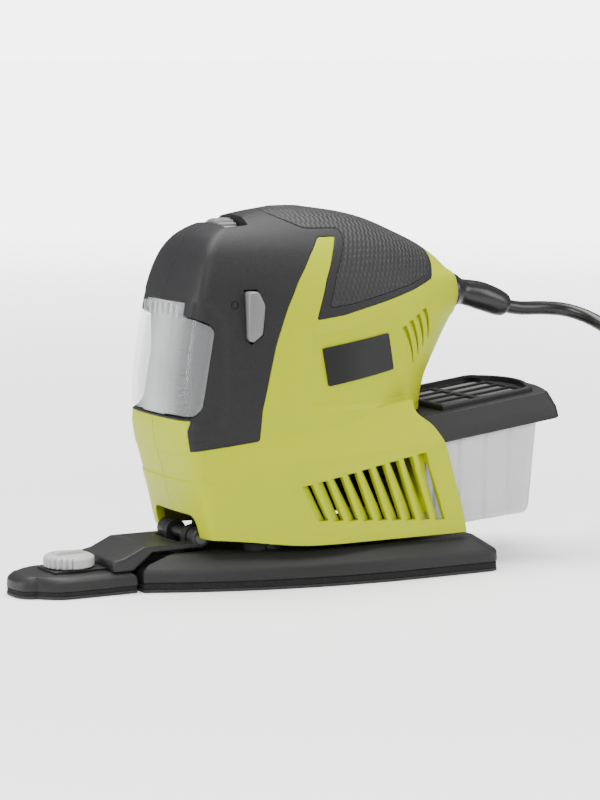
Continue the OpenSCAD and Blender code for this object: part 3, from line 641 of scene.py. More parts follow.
def body_skin():
    """The housing's wall as one hollow solid, before it is parted."""
    outer = loft("outer", upper_surface())
    skirt = loft("skirt", skirt_surface())
    ears = [(-80, 10), (67, 10), (67, 17), (55.2, 56.5), (50.5, 64), (43, 69.5), (43, 90),
            (-80, 90)]
    common(skirt, prism("ears", rounded_outline(ears, 3), -60, 60))
    join(outer, skirt)
    inner = loft("inner", upper_rings(WALL))
    join(inner, loft("inner skirt", skirt_rings(WALL, 15)))
    cut(inner, slab("bay wall", 45, 100, -60, 60, 0, 70.5))
    cut(outer, inner)
    cut(outer, slab("bay", 47.5, 90, -34.3, 34.3, 0, 68))
    cut(outer, slab("low bay", 47.5, 90, -39.3, 39.3, 0, 48))
    arch = rounded_outline([(-20, -40), (20, -40), (19, 30), (-19, 30)], 5)
    front = loft("front arch", [[(-40, y, z) for y, z in arch], [(-90, y, z) for y, z in arch]])
    cut(outer, front)
    return outer


def skin_cutter(name, outline, depth, y0, y1):
    """A cutter that goes only so deep below the upper body's surface."""
    cutter = loft(name, upper_rings(-1.5))
    cut(cutter, loft("core", upper_rings(depth)))
    return common(cutter, prism("outline", outline, y0, y1))


def tapered_slot(x0, z0, x1, z1, w0, w1, bend, steps=8):
    """A curved slot's outline between two points, w0 wide at one end and w1 at the other."""
    a, b = Vector((x0, z0)), Vector((x1, z1))
    d = (b - a).normalized()
    n = Vector((-d.y, d.x))
    left, right = [], []
    for i in range(steps + 1):
        t = i / steps
        p = a.lerp(b, t) + n * bend * 4 * t * (1 - t)
        w = (w0 + (w1 - w0) * t) / 2
        left.append(tuple(p + n * w))
        right.append(tuple(p - n * w))
    return left + right[::-1]


def rear_slots():
    """Cutters of the slots at the rear."""
    return [tapered_slot(41.5 + 3.9 * i, 105.2 + 2.25 * i, 47.8 + 3.1 * i, 89.5 + 3.3 * i,
                         2.3, 0.5, 1.0) for i in range(4)]


def skirt_half_width(x):
    """Half the skirt's width at its middle height."""
    return 42 if x >= 10 else 28 + 14 * math.cos(math.radians(90 * (10 - x) / 60))


def louvre_cutter(i, side):
    """One louvre: a blade that slopes inward from its front edge to an open slit behind it."""
    t = i / 8
    x0, z0 = -12.3 + 53.5 * t, 42.0 + 10.2 * t
    x1, z1 = -5.2 + 56 * t, 27.0 - 3.6 * t
    wide = 4.5
    outline = [(x0, z0), (x1, z1), (x1 + wide, z1 + 0.2), (x0 + wide, z0 + 0.7)]
    sinks = (1.3, 1.3, 4.0, 4.3 if i in (0, 1, 8) else 7.0)
    outer = [(x, side * 47, z) for x, z in outline]
    inner = [(x, side * (skirt_half_width(x) - d), z) for (x, z), d in zip(outline, sinks)]
    return loft("louvre", [outer, inner])


def cut_vents(shell, side):
    """Cuts the louvres and slots of one shell."""
    for i in range(9):
        cut(shell, louvre_cutter(i, side))
    for outline in rear_slots():
        y0, y1 = (-45, -4) if side < 0 else (4, 45)
        cut(shell, skin_cutter("slot", outline, 1.9, y0, y1))


def part_housing():
    """Parts the body skin into shells, nose and grip."""
    skin = body_skin()
    nose_line = rounded_outline(NOSE_LINE, 1.2, 4)
    nose = duplicate(skin, "nose")
    common(nose, prism("nose area", nose_line, -60, 60))
    strip = [(-80, 50), (-44, 50), (-44, 70.8), (-80, 70.8)]
    cut(nose, prism("strip", strip, -26.2, 26.2))
    cut(nose, prism("grip gap", offset_outline(rounded_outline(GRIP_LINE, 2, 4), 0.25), -60, 60))
    grip = duplicate(skin, "grip")
    common(grip, prism("grip area", rounded_outline(GRIP_LINE, 2, 4), -60, 60))
    area = prism("green gap", offset_outline(nose_line, 0.22), -60, 60)
    cut(area, prism("strip", offset_outline(strip, -0.2), -26, 26))
    cut(skin, area)
    return skin, nose, grip


def open_front(piece):
    """Cuts the clear cover's opening and the notch for its tab."""
    cut(piece, prism("cover", rounded_outline(COVER_LINE, 2.5), -60, 60))
    cut(piece, slab("tab notch", -80, -46, -TAB_HALF - 0.6, TAB_HALF + 0.6, 105, 118.8))


def half(obj, name, side):
    """One side of a piece, as an object of its own."""
    new = duplicate(obj, name)
    y0, y1 = (-70, -0.09) if side < 0 else (0.09, 70)
    return common(new, slab("side", -130, 130, y0, y1, -5, 175))


# ---------------------------------------------------------------- settings

def colour_property(name, description, default):
    return bpy.props.FloatVectorProperty(
        name=name, description=description, default=default, subtype="COLOR", size=3, min=0, max=1)


class SanderColours(bpy.types.PropertyGroup):
    """Colours of the sander's plastics, rubber and abrasive."""
    shell: colour_property("Shell", "Lime green of the housing shells", (0.345, 0.396, 0.0))
    nose: colour_property("Nose", "Dark textured nose and band", (0.011, 0.011, 0.012))
    grip: colour_property("Grip", "Soft patterned grip", (0.017, 0.0168, 0.0176))
    badge: colour_property("Badge", "Plain side badge", (0.007, 0.007, 0.0075))
    button: colour_property("Button", "Power button and speed dial", (0.125, 0.125, 0.128))
    knob: colour_property("Knob", "Finger's clamping knob", (0.4, 0.4, 0.4))
    cover: colour_property("Cover", "Clear front cover", (0.55, 0.56, 0.57))
    container: colour_property("Dust box", "Frosted dust container", (0.60, 0.60, 0.615))
    lid: colour_property("Lid", "Dark lid of the dust box", (0.012, 0.012, 0.0126))
    pad: colour_property("Pad", "Moulded pad and finger", (0.010, 0.010, 0.0104))
    arm: colour_property("Arm", "Arm of the folding finger", (0.015, 0.015, 0.0156))
    foam: colour_property("Foam", "Foam under the pad", (0.012, 0.012, 0.012))
    abrasive: colour_property("Abrasive", "Abrasive face", (0.02, 0.02, 0.02))
    cord: colour_property("Cord", "Mains cord and boot", (0.008, 0.008, 0.0085))


class SanderSizes(bpy.types.PropertyGroup):
    """Sizes that a user would change."""
    cord_diameter: bpy.props.FloatProperty(
        name="Cord diameter", description="Outside of the mains cord", default=0.0062,
        unit="LENGTH")
    knob_ribs: bpy.props.IntProperty(
        name="Knob ribs", description="Ribs round the clamping knob", default=26)
    dial_ribs: bpy.props.IntProperty(
        name="Dial ribs", description="Ribs round the speed dial", default=30)
    camera_distance: bpy.props.FloatProperty(
        name="Camera distance", description="From the camera to the tool's middle", default=1.2,
        unit="LENGTH")


class SanderOperator:
    """What the sander's operators share."""
    bl_options = {"REGISTER"}

    def sizes(self):
        """The sizes set in the scene."""
        return bpy.context.scene.sander_sizes


BOOT_HOLE = ((60, 0, 116.5), (100, 0, 116.5), 7.0)


class SANDER_OT_housing(SanderOperator, bpy.types.Operator):
    """Green shells, dark nose halves, soft grip and side badges"""
    bl_idname = "sander.housing"
    bl_label = "Housing"

    def execute(self, context):
        green, nose, grip = part_housing()
        for side, word in ((-1, "left"), (1, "right")):
            shell = half(green, f"{word}_shell_skin", side)
            cut_vents(shell, side)
            open_front(shell)
            cut(shell, rod("boot hole", *BOOT_HOLE))
            finish_piece(shell, "housing", "lime_shell", [f"{word}_shell"])
            piece = half(nose, f"nose_{word}_skin", side)
            open_front(piece)
            cut(piece, slab("dial", DIAL[0] - 5.2, DIAL[0] + 5.2, -14.6, 14.6, 136, 170))
            cut(piece, prism("switch", offset_outline(BUTTON, 0.5), -60, 60))
            cut(piece, rod("boot hole", *BOOT_HOLE))
            self.mark_switch(piece, side)
            finish_piece(piece, "housing", "dark_nose", [f"nose_{word}"])
        discard(green)
        discard(nose)
        finish_piece(grip, "housing", "soft_grip", ["grip_pad"])
        for side, word in ((-1, "left"), (1, "right")):
            y0, y1 = (-60, -5) if side < 0 else (5, 60)
            badge = loft(f"badge_{word}_skin", pressed_in(upper_rings(-0.7), [LABEL_PRESS]))
            cut(badge, loft("under", pressed_in(upper_rings(0.4), [LABEL_PRESS])))
            common(badge, prism("outline", rounded_outline(BADGE_LINE, 0.9), y0, y1))
            finish_piece(badge, "housing", "badge", [f"badge_{word}"])
        return {"FINISHED"}

    def mark_switch(self, piece, side):
        """Engraves the off ring on one side and the on bar on the other."""
        x, z = SWITCH_MARK
        y0, y1 = (-60, -10) if side < 0 else (10, 60)
        if side < 0:
            ring = [(x + 1.75 * math.cos(t), z + 1.9 * math.sin(t))
                    for t in (2 * math.pi * i / 32 for i in range(32))]
            mark = skin_cutter("mark", ring, 0.35, y0, y1)
            cut(mark, prism("middle", offset_outline(ring, -0.55), -60, 60))
        else:
            mark = skin_cutter("mark", [(x - 0.3, z - 1.9), (x + 0.3, z - 1.9), (x + 0.3, z + 1.9),
                                        (x - 0.3, z + 1.9)], 0.35, y0, y1)
        cut(piece, mark)


class SANDER_OT_controls(SanderOperator, bpy.types.Operator):
    """Power switch bar, speed dial and clear front cover"""
    bl_idname = "sander.controls"
    bl_label = "Controls and cover"

    def execute(self, context):
        bar = prism("power_bar_skin", offset_outline(BUTTON, -0.1), -33.3, 33.3)
        bevelled(bar, 1.3)
        for x0, x1, z0, z1 in ((-40, -20, 100, 108), (-40, -20, 117, 130), (-40, -33, 107, 118),
                               (-28.4, -20, 107, 118)):
            cut(bar, slab("waist", x0, x1, -24.4, 24.4, z0, z1))
        finish_piece(bar, "power_switch", "button_grey", ["power_bar"])
        dial = self.make_dial()
        finish_piece(dial, "dial", "button_grey", ["speed_dial"])
        cover = self.make_cover()
        finish_piece(cover, "front_cover", "clear_plastic", ["clear_cover"])
        return {"FINISHED"}

    def make_dial(self):
        """Speed dial with ribs round its rim."""
        ribs = self.sizes().dial_ribs
        rings = []
        for dx, grow in ((-4.2, -0.9), (-3.6, 0), (3.6, 0), (4.2, -0.9)):
            ring = []
            for i in range(ribs * 8):
                t = 2 * math.pi * i / (ribs * 8)
                r = 13.6 + grow + 0.35 * math.tanh(3 * math.cos(ribs * t))
                ring.append((DIAL[0] + dx, r * math.cos(t), DIAL[1] + r * math.sin(t)))
            rings.append(ring)
        dial = loft("speed_dial_skin", rings)
        return cut(dial, rod("bore", (-40, 0, DIAL[1]), (-20, 0, DIAL[1]), 1.55))

    def make_cover(self):
        """Clear front cover, cut from the housing's own surface."""
        cover = loft("clear_cover_skin", upper_rings(0))
        cut(cover, loft("core", upper_rings(1.8)))
        outline = prism("outline", rounded_outline(COVER_PIECE, 2.5), -60, 60)
        join(outline, slab("tab", -80, -46, -TAB_HALF, TAB_HALF, 110, 118.3))
        common(cover, outline)
        for k in range(-15, 16, 5):
            join(cover, slab("rib", -58, -56.4, k - 0.9, k + 0.9, 112.5, 117.6))
        join(cover, rod("hinge barrel", (-61, -9, 72.4), (-61, 9, 72.4), 0.6))
        for k in range(3):
            join(cover, slab("mark", -58.4, -56.6, -24, -17, 77 + 3 * k, 77.6 + 3 * k))
        return cover


KNOB_X = -100.5
PAD_WIDTH = [(-76, 20), (-68, 23.6), (-60, 27.2), (-50, 31.2), (-40, 34.6), (-30, 37.6),
             (-20, 40.1), (-10, 42.2), (0, 43.9), (10, 45.2), (20, 46.2), (30, 46.8), (45, 47),
             (75, 47)]


PAD_FRONT, PAD_REAR, PAD_HALF, PAD_CORNER = -76, 81, 47, 6
FINGER_HALF, FINGER_REAR, FINGER_TAPER, FINGER_TIP = 18.5, -78, -107, -126.5
FINGER_PIVOT = (-48, 20)
PIN_HOLE_R = 2.55
STUD_HOLE_R = 2.6
DUST_HOLE_R = 4.0


def pad_ring(inset, z):
    """The pad's outline at a height, with the same number of points at every inset."""
    front, rear = PAD_FRONT + inset, PAD_REAR - inset
    last, half_rear = PAD_REAR - PAD_CORNER, PAD_HALF - PAD_CORNER
    pts = []
    for i in range(60):
        x = front + (last - PAD_FRONT - 2 * inset) * i / 59
        pts.append((x, smooth_lookup(PAD_WIDTH, x) - inset))
    for a in range(1, 13):
        t = math.radians(90 * a / 12)
        pts.append((last - inset + PAD_CORNER * math.sin(t),
                    half_rear - inset + PAD_CORNER * math.cos(t)))
    nose = [(front, y) for y in np.linspace(0, pts[0][1], 7)[:-1]]
    heel = [(rear, y) for y in np.linspace(half_rear - inset, 0, 8)[1:]]
    h = (nose + pts + heel)[::-1]
    ring = h + [(x, -y) for x, y in h[-2:0:-1]]
    return [(x, y, z) for x, y in ring]


def finger_ring(inset, z):
    """The finger's outline at a height: square behind, tapered to a rounded tip."""
    w = FINGER_HALF - inset
    side = [(FINGER_REAR - inset, y) for y in np.linspace(0, w, 7)[:-1]]
    side += [(x, w) for x in np.linspace(FINGER_REAR - inset, FINGER_TAPER, 12)]
    for i in range(1, 13):
        t = i / 12
        side.append((FINGER_TAPER - 12.5 * t, w * (1 - 0.40 * t * t)))
    tip, root = FINGER_TIP + inset, FINGER_TAPER - 12.5
    for i in range(1, 9):
        t = math.radians(90 * i / 8)
        side.append((root + (tip - root) * math.sin(t), w * 0.6 * math.cos(t) ** 0.8))
    side[-1] = (tip, 0.0)
    both = [(x, -y) for x, y in side[:0:-1]] + side[:-1]
    return [(x, -y, z) for x, y in both]


def stacked(name, ring, levels):
    """Loft through one outline at several heights and insets."""
    return loft(name, [ring(inset, z) for z, inset in levels])


DUST_HOLES = [(-44, 0), (-20, 17), (-20, -17), (18, 22), (18, -22), (56, 22), (56, -22), (60, 0)]


class SANDER_OT_pad(SanderOperator, bpy.types.Operator):
    """Moulded pad, its foam and its abrasive face"""
    bl_idname = "sander.pad"
    bl_label = "Pad"

    def execute(self, context):
        plate = stacked("platen_skin", pad_ring, [
            (4.0, 0.7), (4.3, 0.1), (4.8, 0.0), (8.2, 0.15), (9.0, 0.5), (9.6, 1.1), (14.0, 6.6),
            (14.6, 7.4), (15.0, 8.6)])
        cut(plate, slab("finger bay", -90, -47, -18.2, 18.2, 9.6, 30))
        cut(plate, slab("bracket bay", -60, -43.4, -10.5, 10.5, 9.6, 30))
        cut(plate, rod("seat", (1, 0, 9.5), (1, 0, 30), 11))
        foam = stacked("foam_skin", pad_ring, [(1.2, 0.5), (1.5, 0.25), (3.6, 0.25), (4.0, 0.6)])
        face = stacked("hook_face_skin", pad_ring, [
            (0.0, 0.35), (0.12, 0.05), (1.0, 0.05), (1.2, 0.3)])
        for piece in (plate, foam, face):
            for x, y in DUST_HOLES:
                cut(piece, rod("dust hole", (x, y, -1), (x, y, 30), DUST_HOLE_R, sides=36))
        finish_piece(plate, "platen", "black_plastic", ["platen_plate"], 24)
        finish_piece(foam, "platen", "foam", ["foam_pad"])
        finish_piece(face, "platen", "hook_fabric", ["hook_face"])
        return {"FINISHED"}


class SANDER_OT_finger(SanderOperator, bpy.types.Operator):
    """Folding finger with its arm, pad, abrasive and clamping knob"""
    bl_idname = "sander.finger"
    bl_label = "Folding finger"

    def execute(self, context):
        plate = stacked("finger_plate_skin", finger_ring, [
            (3.0, 0.5), (3.3, 0.05), (3.8, 0.0), (6.6, 0.25), (7.4, 0.8), (8.4, 2.2), (8.85, 3.0),
            (9.0, 3.8)])
        foam = stacked("finger_foam_skin", finger_ring, [(1.2, 0.5), (1.5, 0.2), (2.8, 0.2),
                                                         (3.0, 0.5)])
        face = stacked("finger_face_skin", finger_ring, [(0.0, 0.3), (0.12, 0.05), (1.0, 0.05),
                                                         (1.2, 0.3)])
        arm = self.make_arm()
        knob = self.make_knob()
        finish_piece(plate, "finger", "black_plastic", ["finger_plate"], 24)
        finish_piece(foam, "finger", "foam", ["finger_foam"])
        finish_piece(face, "finger", "hook_fabric", ["finger_hook_face"])
        finish_piece(arm, "finger", "black_plastic", ["finger_arm"],
                     finish="arm_plastic")
        finish_piece(knob, "finger_knob_body", "knob_pale", ["finger_knob"])
        return {"FINISHED"}

    def make_arm(self):
        """Wedge behind the knob, tongue under it and two eyes on the pivot pin."""
        x, z = FINGER_PIVOT
        wedge = [(-88, 9), (-79, 9), (-70, 16), (-69.9, 18.6), (-74, 18.6), (-83, 14.5),
                 (-88, 13.5)]
        arm = bevelled(prism("finger_arm_skin", wedge, -17, 17), 0.8)
        join(arm, bevelled(prism("tongue", [(-111, 9), (-84, 9), (-84, 10), (-111, 10)], -9, 9),
                           0.3))
        join(arm, bevelled(slab("bridge", -71, -56, -15, 15, 16, 18.6), 0.6))
        for s in (-1, 1):
            join(arm, bevelled(slab("side", -71, -47, s * 14 - 3, s * 14 + 3, 16, 18.6), 0.6))
            eye = lathe("eye", [(0, 3.4), (0.6, 4.2), (5.4, 4.2), (6, 3.4)],
                        (x, s * 14 - 3, z), (0, 1, 0))
            join(arm, eye)
        cut(arm, rod("bore", (x, -20, z), (x, 20, z), PIN_HOLE_R))
        return cut(arm, rod("stud hole", (KNOB_X, 0, 5), (KNOB_X, 0, 25), STUD_HOLE_R))

    def make_knob(self):
        """Ribbed clamping knob."""
        ribs = self.sizes().knob_ribs
        rings = []
        for z, grow, depth in ((10.3, -0.7, 0.0), (10.8, 0, 0.5), (14.2, 0, 0.5), (14.9, -0.5, 0.1),
                               (15.4, -1.4, 0.0)):
            ring = []
            for i in range(ribs * 8):
                t = 2 * math.pi * i / (ribs * 8)
                smooth_side = abs(math.sin(t - 0.5)) > 0.72
                r = 10.15 + grow + (0.32 if smooth_side else
                                    depth * math.tanh(3 * math.cos(ribs * t)))
                ring.append((KNOB_X + r * math.cos(t), r * math.sin(t), z))
            rings.append(ring)
        knob = loft("finger_knob_skin", rings)
        pointer = rounded_outline([(-6.5, -2.2), (6.5, -1.2), (6.5, 1.2), (-6.5, 2.2)], 1)
        grip = loft("pointer", [
            [(KNOB_X + x * k, y * k, z) for x, y in pointer]
            for z, k in ((14, 1.0), (16.2, 0.98), (16.7, 0.9))])
        join(knob, grip)
        return cut(knob, rod("bore", (KNOB_X, 0, 9), (KNOB_X, 0, 14.4), STUD_HOLE_R))


LID_TILT = math.radians(7)
LID_ROOT = Vector((52, 0, 54))
LID_HALF = 33.8
PORT_HEIGHT, PORT_R = 33, 8.2
BOX_WALL = 1.6


def lid_point(s, y, n):
    """A point given along the lid, across it and above its rim."""
    c, k = math.cos(LID_TILT), math.sin(LID_TILT)
    return (LID_ROOT.x + s * c - n * k, y, LID_ROOT.z + s * k + n * c)


def lid_ring(inset, n, front=0.0, sides=24):
    """The lid's plan at a height above its rim: square in front, bowed at the rear."""
    w = LID_HALF - inset
    pts = [(front, -w)]
    pts += [(s, -w) for s in np.linspace(front, 64 - inset, 20)[1:]]
    for i in range(1, 9):
        t = math.radians(90 * i / 8)
        pts.append((64 - inset + 4.5 * math.sin(t), -w + 4 - 4 * math.cos(t)))
    for y in np.linspace(-w + 4, w - 4, sides)[1:-1]:
        bow = 1 - (y / (w - 4)) ** 2
        pts.append((68.5 - inset + 5.6 * bow, y))
    pts += [(s, -y) for s, y in reversed(pts[:29])]
    return [lid_point(s, y, n) for s, y in pts]


class SANDER_OT_dust_box(SanderOperator, bpy.types.Operator):
    """Frosted dust container and its dark filter lid"""
    bl_idname = "sander.dust_box"
    bl_label = "Dust box"

    def execute(self, context):
        box = self.make_container(0)
        cut(box, self.make_container(BOX_WALL))
        cut(box, rod("port", (45, 0, PORT_HEIGHT), (57, 0, PORT_HEIGHT), PORT_R))
        finish_piece(box, "dust_box", "smoke_plastic", ["dust_container"])
        lid = self.make_lid()
        finish_piece(lid, "box_lid", "black_plastic", ["dust_lid"], 24, "lid_plastic")
        screen = self.make_screen()
        finish_piece(screen, "box_lid", "filter_paper", angle=20, finish="filter_screen")
        return {"FINISHED"}

    def make_container(self, t):
        """The dust box, or its hollow when a wall thickness is given."""
        rings = []
        heights = [17.5 + t, 18.6 + t, 20.5 + t, 26, 36, 46, 55, 62 if t else 57.3]
        for k, z in enumerate(heights):
            draft = (0.9, 0.25, 0.0)[k] if k < 3 else 0
            u = min(1, (z - 17.5) / 46)
            rear = 109 + 4 * u - t - draft
            w = 30.6 + 1.2 * u - t - draft
            front = 52 + t + draft
            ring = [(front, -w)]
            for i in range(1, 60):
                s = i / 60
                x = front + (rear - 7 - front) * s
                flute = 0.0 if t else 0.7 * (abs((x - 62) % 13 - 6.5) < 0.9)
                ring.append((x, -w + flute))
            for i in range(0, 9):
                a = math.radians(90 * i / 8)
                ring.append((rear - 7 + 5.5 * math.sin(a), -w + 7 - 7 * math.cos(a)))
            for y in np.linspace(-w + 7, 0, 10)[1:-1]:
                ring.append((rear - 1.5 + 1.5 * (1 - (y / (w - 7)) ** 2), y))
            half_ring = ring + [(rear, 0.0)]
            whole = half_ring + [(x, -y) for x, y in half_ring[-2::-1]]
            low, high = math.tan(math.radians(4)), math.tan(LID_TILT)
            tilt = low + (high - low) * (z - 17.5) / 40
            rings.append([(x, y, z + tilt * (x - 52)) for x, y in whole])
        return loft("container_skin" if not t else "container hollow", rings)

    def make_screen(self):
        """The fine pleats of the filter that show through the lid's windows."""
        top, bottom = [], []
        for i in range(89):
            s = 16.5 + i * 0.5
            n = 11.2 if i % 2 else 10.6
            top.append((s, n))
            bottom.append((s, n - 0.25))
        outline = top + bottom[::-1]
        return loft("filter_screen", [[lid_point(s, y, n) for s, n in outline[::-1]]
                                      for y in (-24.8, 24.8)])

    def make_lid(self):
        """Lid of the dust box with its raised rim."""
        lid = loft("dust_lid_skin", [
            lid_ring(0.25, 0.0), lid_ring(0.0, 0.4), lid_ring(0.5, 5.0), lid_ring(0.9, 6.0),
            lid_ring(2.6, 11.0), lid_ring(3.0, 11.7), lid_ring(4.0, 12.0)])
        hollow = loft("hollow", [lid_ring(1.7, -1, -5), lid_ring(1.9, 5, -5),
                                 lid_ring(4.4, 10.3, -5)])
        cut(lid, hollow)
        rim = loft("ridge", [lid_ring(7.5, 11.6, 13), lid_ring(7.5, 13.8, 13),
                             lid_ring(8.0, 14.4, 13.5)])
        cut(rim, loft("well", [lid_ring(9.3, 11, 15), lid_ring(9.3, 16, 15)]))
        join(lid, rim)
        for k in range(-2, 3):
            y0, y1 = k * 10.0 - 4.3, k * 10.0 + 4.3
            for s0, s1 in ((16.5, 37.5), (40, 60.5)):
                outline = [(s0, y0), (s1, y0), (s1, y1), (s0, y1)]
                window = loft("window", [[lid_point(s, y, n) for s, y in
                                          rounded_outline(outline, 1.2, 4)] for n in (9, 13.2)])
                cut(lid, window)
        return lid


ROUTE = [(111.6, 0, 108.6), (120, 0, 107.2), (132, 0, 106.8), (143, -3, 105.5),
         (151, -12, 101.5), (154, -26, 95), (153, -41, 84), (149, -53, 67), (145, -58.5, 50),
         (143.5, -60, 34), (147, -61, 18), (156, -64.3, 7.5), (167, -68.4, 3.6)]
TAIL = [(158.8, -43.5, 13.2), (162, -51, 17.5), (169.5, -58, 22.3), (180, -61.8, 25.2)]
COIL = (201, -34)
COIL_MEAN = 34.5
PLUG = (180, -62, 25.3)
# Distance from the plug's cord end, half height and half width
PLUG_RINGS = [(0, 3.6, 3.6), (0.6, 4.4, 4.4), (8, 6.2, 7.0), (12, 9.5, 12), (16, 12.2, 16),
              (20, 12.7, 16.8), (33, 12.7, 16.8), (35.2, 12.2, 16.2), (35.8, 11.2, 15)]
COLUMNS = 4
ENTRY_DEG, EXIT_DEG = -110, 170


def smooth_points(points, steps):
    """Points along a smooth curve through given ones."""
    p = [Vector(q) for q in points]
    out = []
    for i in range(len(p) - 1):
        a, b, c, d = p[max(i - 1, 0)], p[i], p[i + 1], p[min(i + 2, len(p) - 1)]
        for k in range(steps):
            t = k / steps
            out.append(0.5 * (2 * b + (c - a) * t + (2 * a - 5 * b + 4 * c - d) * t * t
                              + (3 * b - a - 3 * c + d) * t**3))
    return out + [p[-1]]


def coil_points(d):
    """The coil's turns: two layers of columns, worked inward below and outward above."""
    radii = [COIL_MEAN + (j - (COLUMNS - 1) / 2) * d for j in range(COLUMNS)]
    order = [(radii[j], d / 2) for j in reversed(range(COLUMNS))]
    order += [(radii[j], 1.5 * d) for j in range(COLUMNS)]
    total = 360 * (len(order) - 1) + (EXIT_DEG - ENTRY_DEG)
    pts = []
    for k in range(0, int(total) + 1, 9):
        turn, part = divmod(k, 360)
        r, z = order[turn]
        if turn + 1 < len(order):
            blend = soft_step(np.array((part - 300) / 60), 1.0)
            r2, z2 = order[turn + 1]
            r, z = r + (r2 - r) * float(blend), z + (z2 - z) * float(blend)
        a = math.radians(ENTRY_DEG + k)
        pts.append(Vector((COIL[0] + r * math.cos(a), COIL[1] + r * math.sin(a), z)))
    return pts


class SANDER_OT_cord(SanderOperator, bpy.types.Operator):
    """Moulded boot, mains cord, its coil, tie and plug"""
    bl_idname = "sander.cord"
    bl_label = "Cord"

    def execute(self, context):
        d = self.sizes().cord_diameter / MM
        boot = self.make_boot()
        finish_piece(boot, "housing", "cord_rubber", ["cord_boot"])
        tie = self.make_tie(d)
        finish_piece(tie, "housing", "cord_rubber", ["cord_tie"])
        plug = self.make_plug()
        finish_piece(plug, "housing", "cord_rubber", ["plug_body"])
        self.make_cord(d, plug, tie)
        return {"FINISHED"}

    def make_boot(self):
        """Tapered, collared boot that the cord leaves through."""
        line = smooth_points([(74, 0, 117), (84, 0, 116.5), (94, 0, 114.8), (102, 0, 112.4),
                              (111.6, 0, 108.6)], 12)
        reach = [0.0]
        for a, b in zip(line, line[1:]):
            reach.append(reach[-1] + (b - a).length)
        shape = [(0, 7.9), (8.5, 7.9), (9.5, 7.7), (13, 5.9), (15, 5.6), (18, 5.8), (25, 6.2),
                 (33, 5.9), (37, 5.3), (reach[-1] - 0.6, 4.7), (reach[-1], 3.8)]
        rings = []
        for i, p in enumerate(line):
            d = (line[min(i + 1, len(line) - 1)] - line[max(i - 1, 0)]).normalized()
            s = Vector((0, -1, 0))
            u = d.cross(s)
            r = smooth_lookup(shape, reach[i])
            rings.append([p + r * (math.cos(t) * s + math.sin(t) * u)
                          for t in (2 * math.pi * k / 40 for k in range(40))])
        return loft("cord_boot_skin", rings)

    def make_tie(self, d):
        """Strap round the coiled cord."""
        x, w, h = COIL[0] + COIL_MEAN, COLUMNS * d / 2, 2 * d
        tie = bevelled(slab("cord_tie_skin", x - w - 1.4, x + w + 1.4, COIL[1] - 4, COIL[1] + 4,
                            0.02, h + 1.4), 0.6)
        return cut(tie, slab("hollow", x - w - 0.05, x + w + 0.05, COIL[1] - 6, COIL[1] + 6, -1,
                             h + 0.05))

    def make_plug(self):
        """Moulded plug body, lofted through ellipses from the cord to the pin face."""
        rings = []
        for x, half_height, half_width in PLUG_RINGS:
            rings.append([(PLUG[0] + x, PLUG[1] + half_width * math.cos(t),
                           PLUG[2] + half_height * math.sin(t))
                          for t in (2 * math.pi * k / 56 for k in range(56))])
        return loft("plug_body_skin", rings)

    def make_cord(self, d, plug, tie):
        """Cord of one length from the boot through the coil to the plug."""
        pts = smooth_points(ROUTE, 3) + coil_points(d)[1:]
        tail = [pts[-1]] + [Vector(p) for p in TAIL]
        tail.append(Vector((PLUG[0] + 0.3, PLUG[1], PLUG[2])))
        pts = pts[:-1] + smooth_points(tail, 4)
        curve = bpy.data.curves.new("mains_cord", "CURVE")
        curve.dimensions = "3D"
        curve.bevel_depth = d / 2 * MM
        curve.bevel_resolution = 5
        curve.use_fill_caps = True
        spline = curve.splines.new("POLY")
        spline.points.add(len(pts) - 1)
        for q, p in zip(spline.points, pts):
            q.co = (*(p * MM), 1)
        spline.use_smooth = True
        cord = bpy.data.objects.new("mains_cord", curve)
        bpy.context.scene.collection.objects.link(cord)
        curve.materials.append(MATERIALS["cord_rubber"])
        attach(cord, "housing")
        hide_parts("power_cord", "cord_coil")


class SANDER_OT_insides(SanderOperator, bpy.types.Operator):
    """Finishes for the motor, electrics and other pieces kept from the frame"""
    bl_idname = "sander.insides"
    bl_label = "Insides"

    def execute(self, context):
        slots = {p["node"]: p["material_slot"] for p in frame["record"]["subparts"]}
        for name, node in frame["nodes"].items():
            material = MATERIALS[slots[name]]
            if name == "pivot_pin":
                material = MATERIALS["blackened_steel"]
            node.data.materials.clear()
            node.data.materials.append(material)
        return {"FINISHED"}


FLOOR_HALF = 60000
FLOOR_LEVEL = -0.05
TOOL_MIDDLE = (0, 0, 0.08)


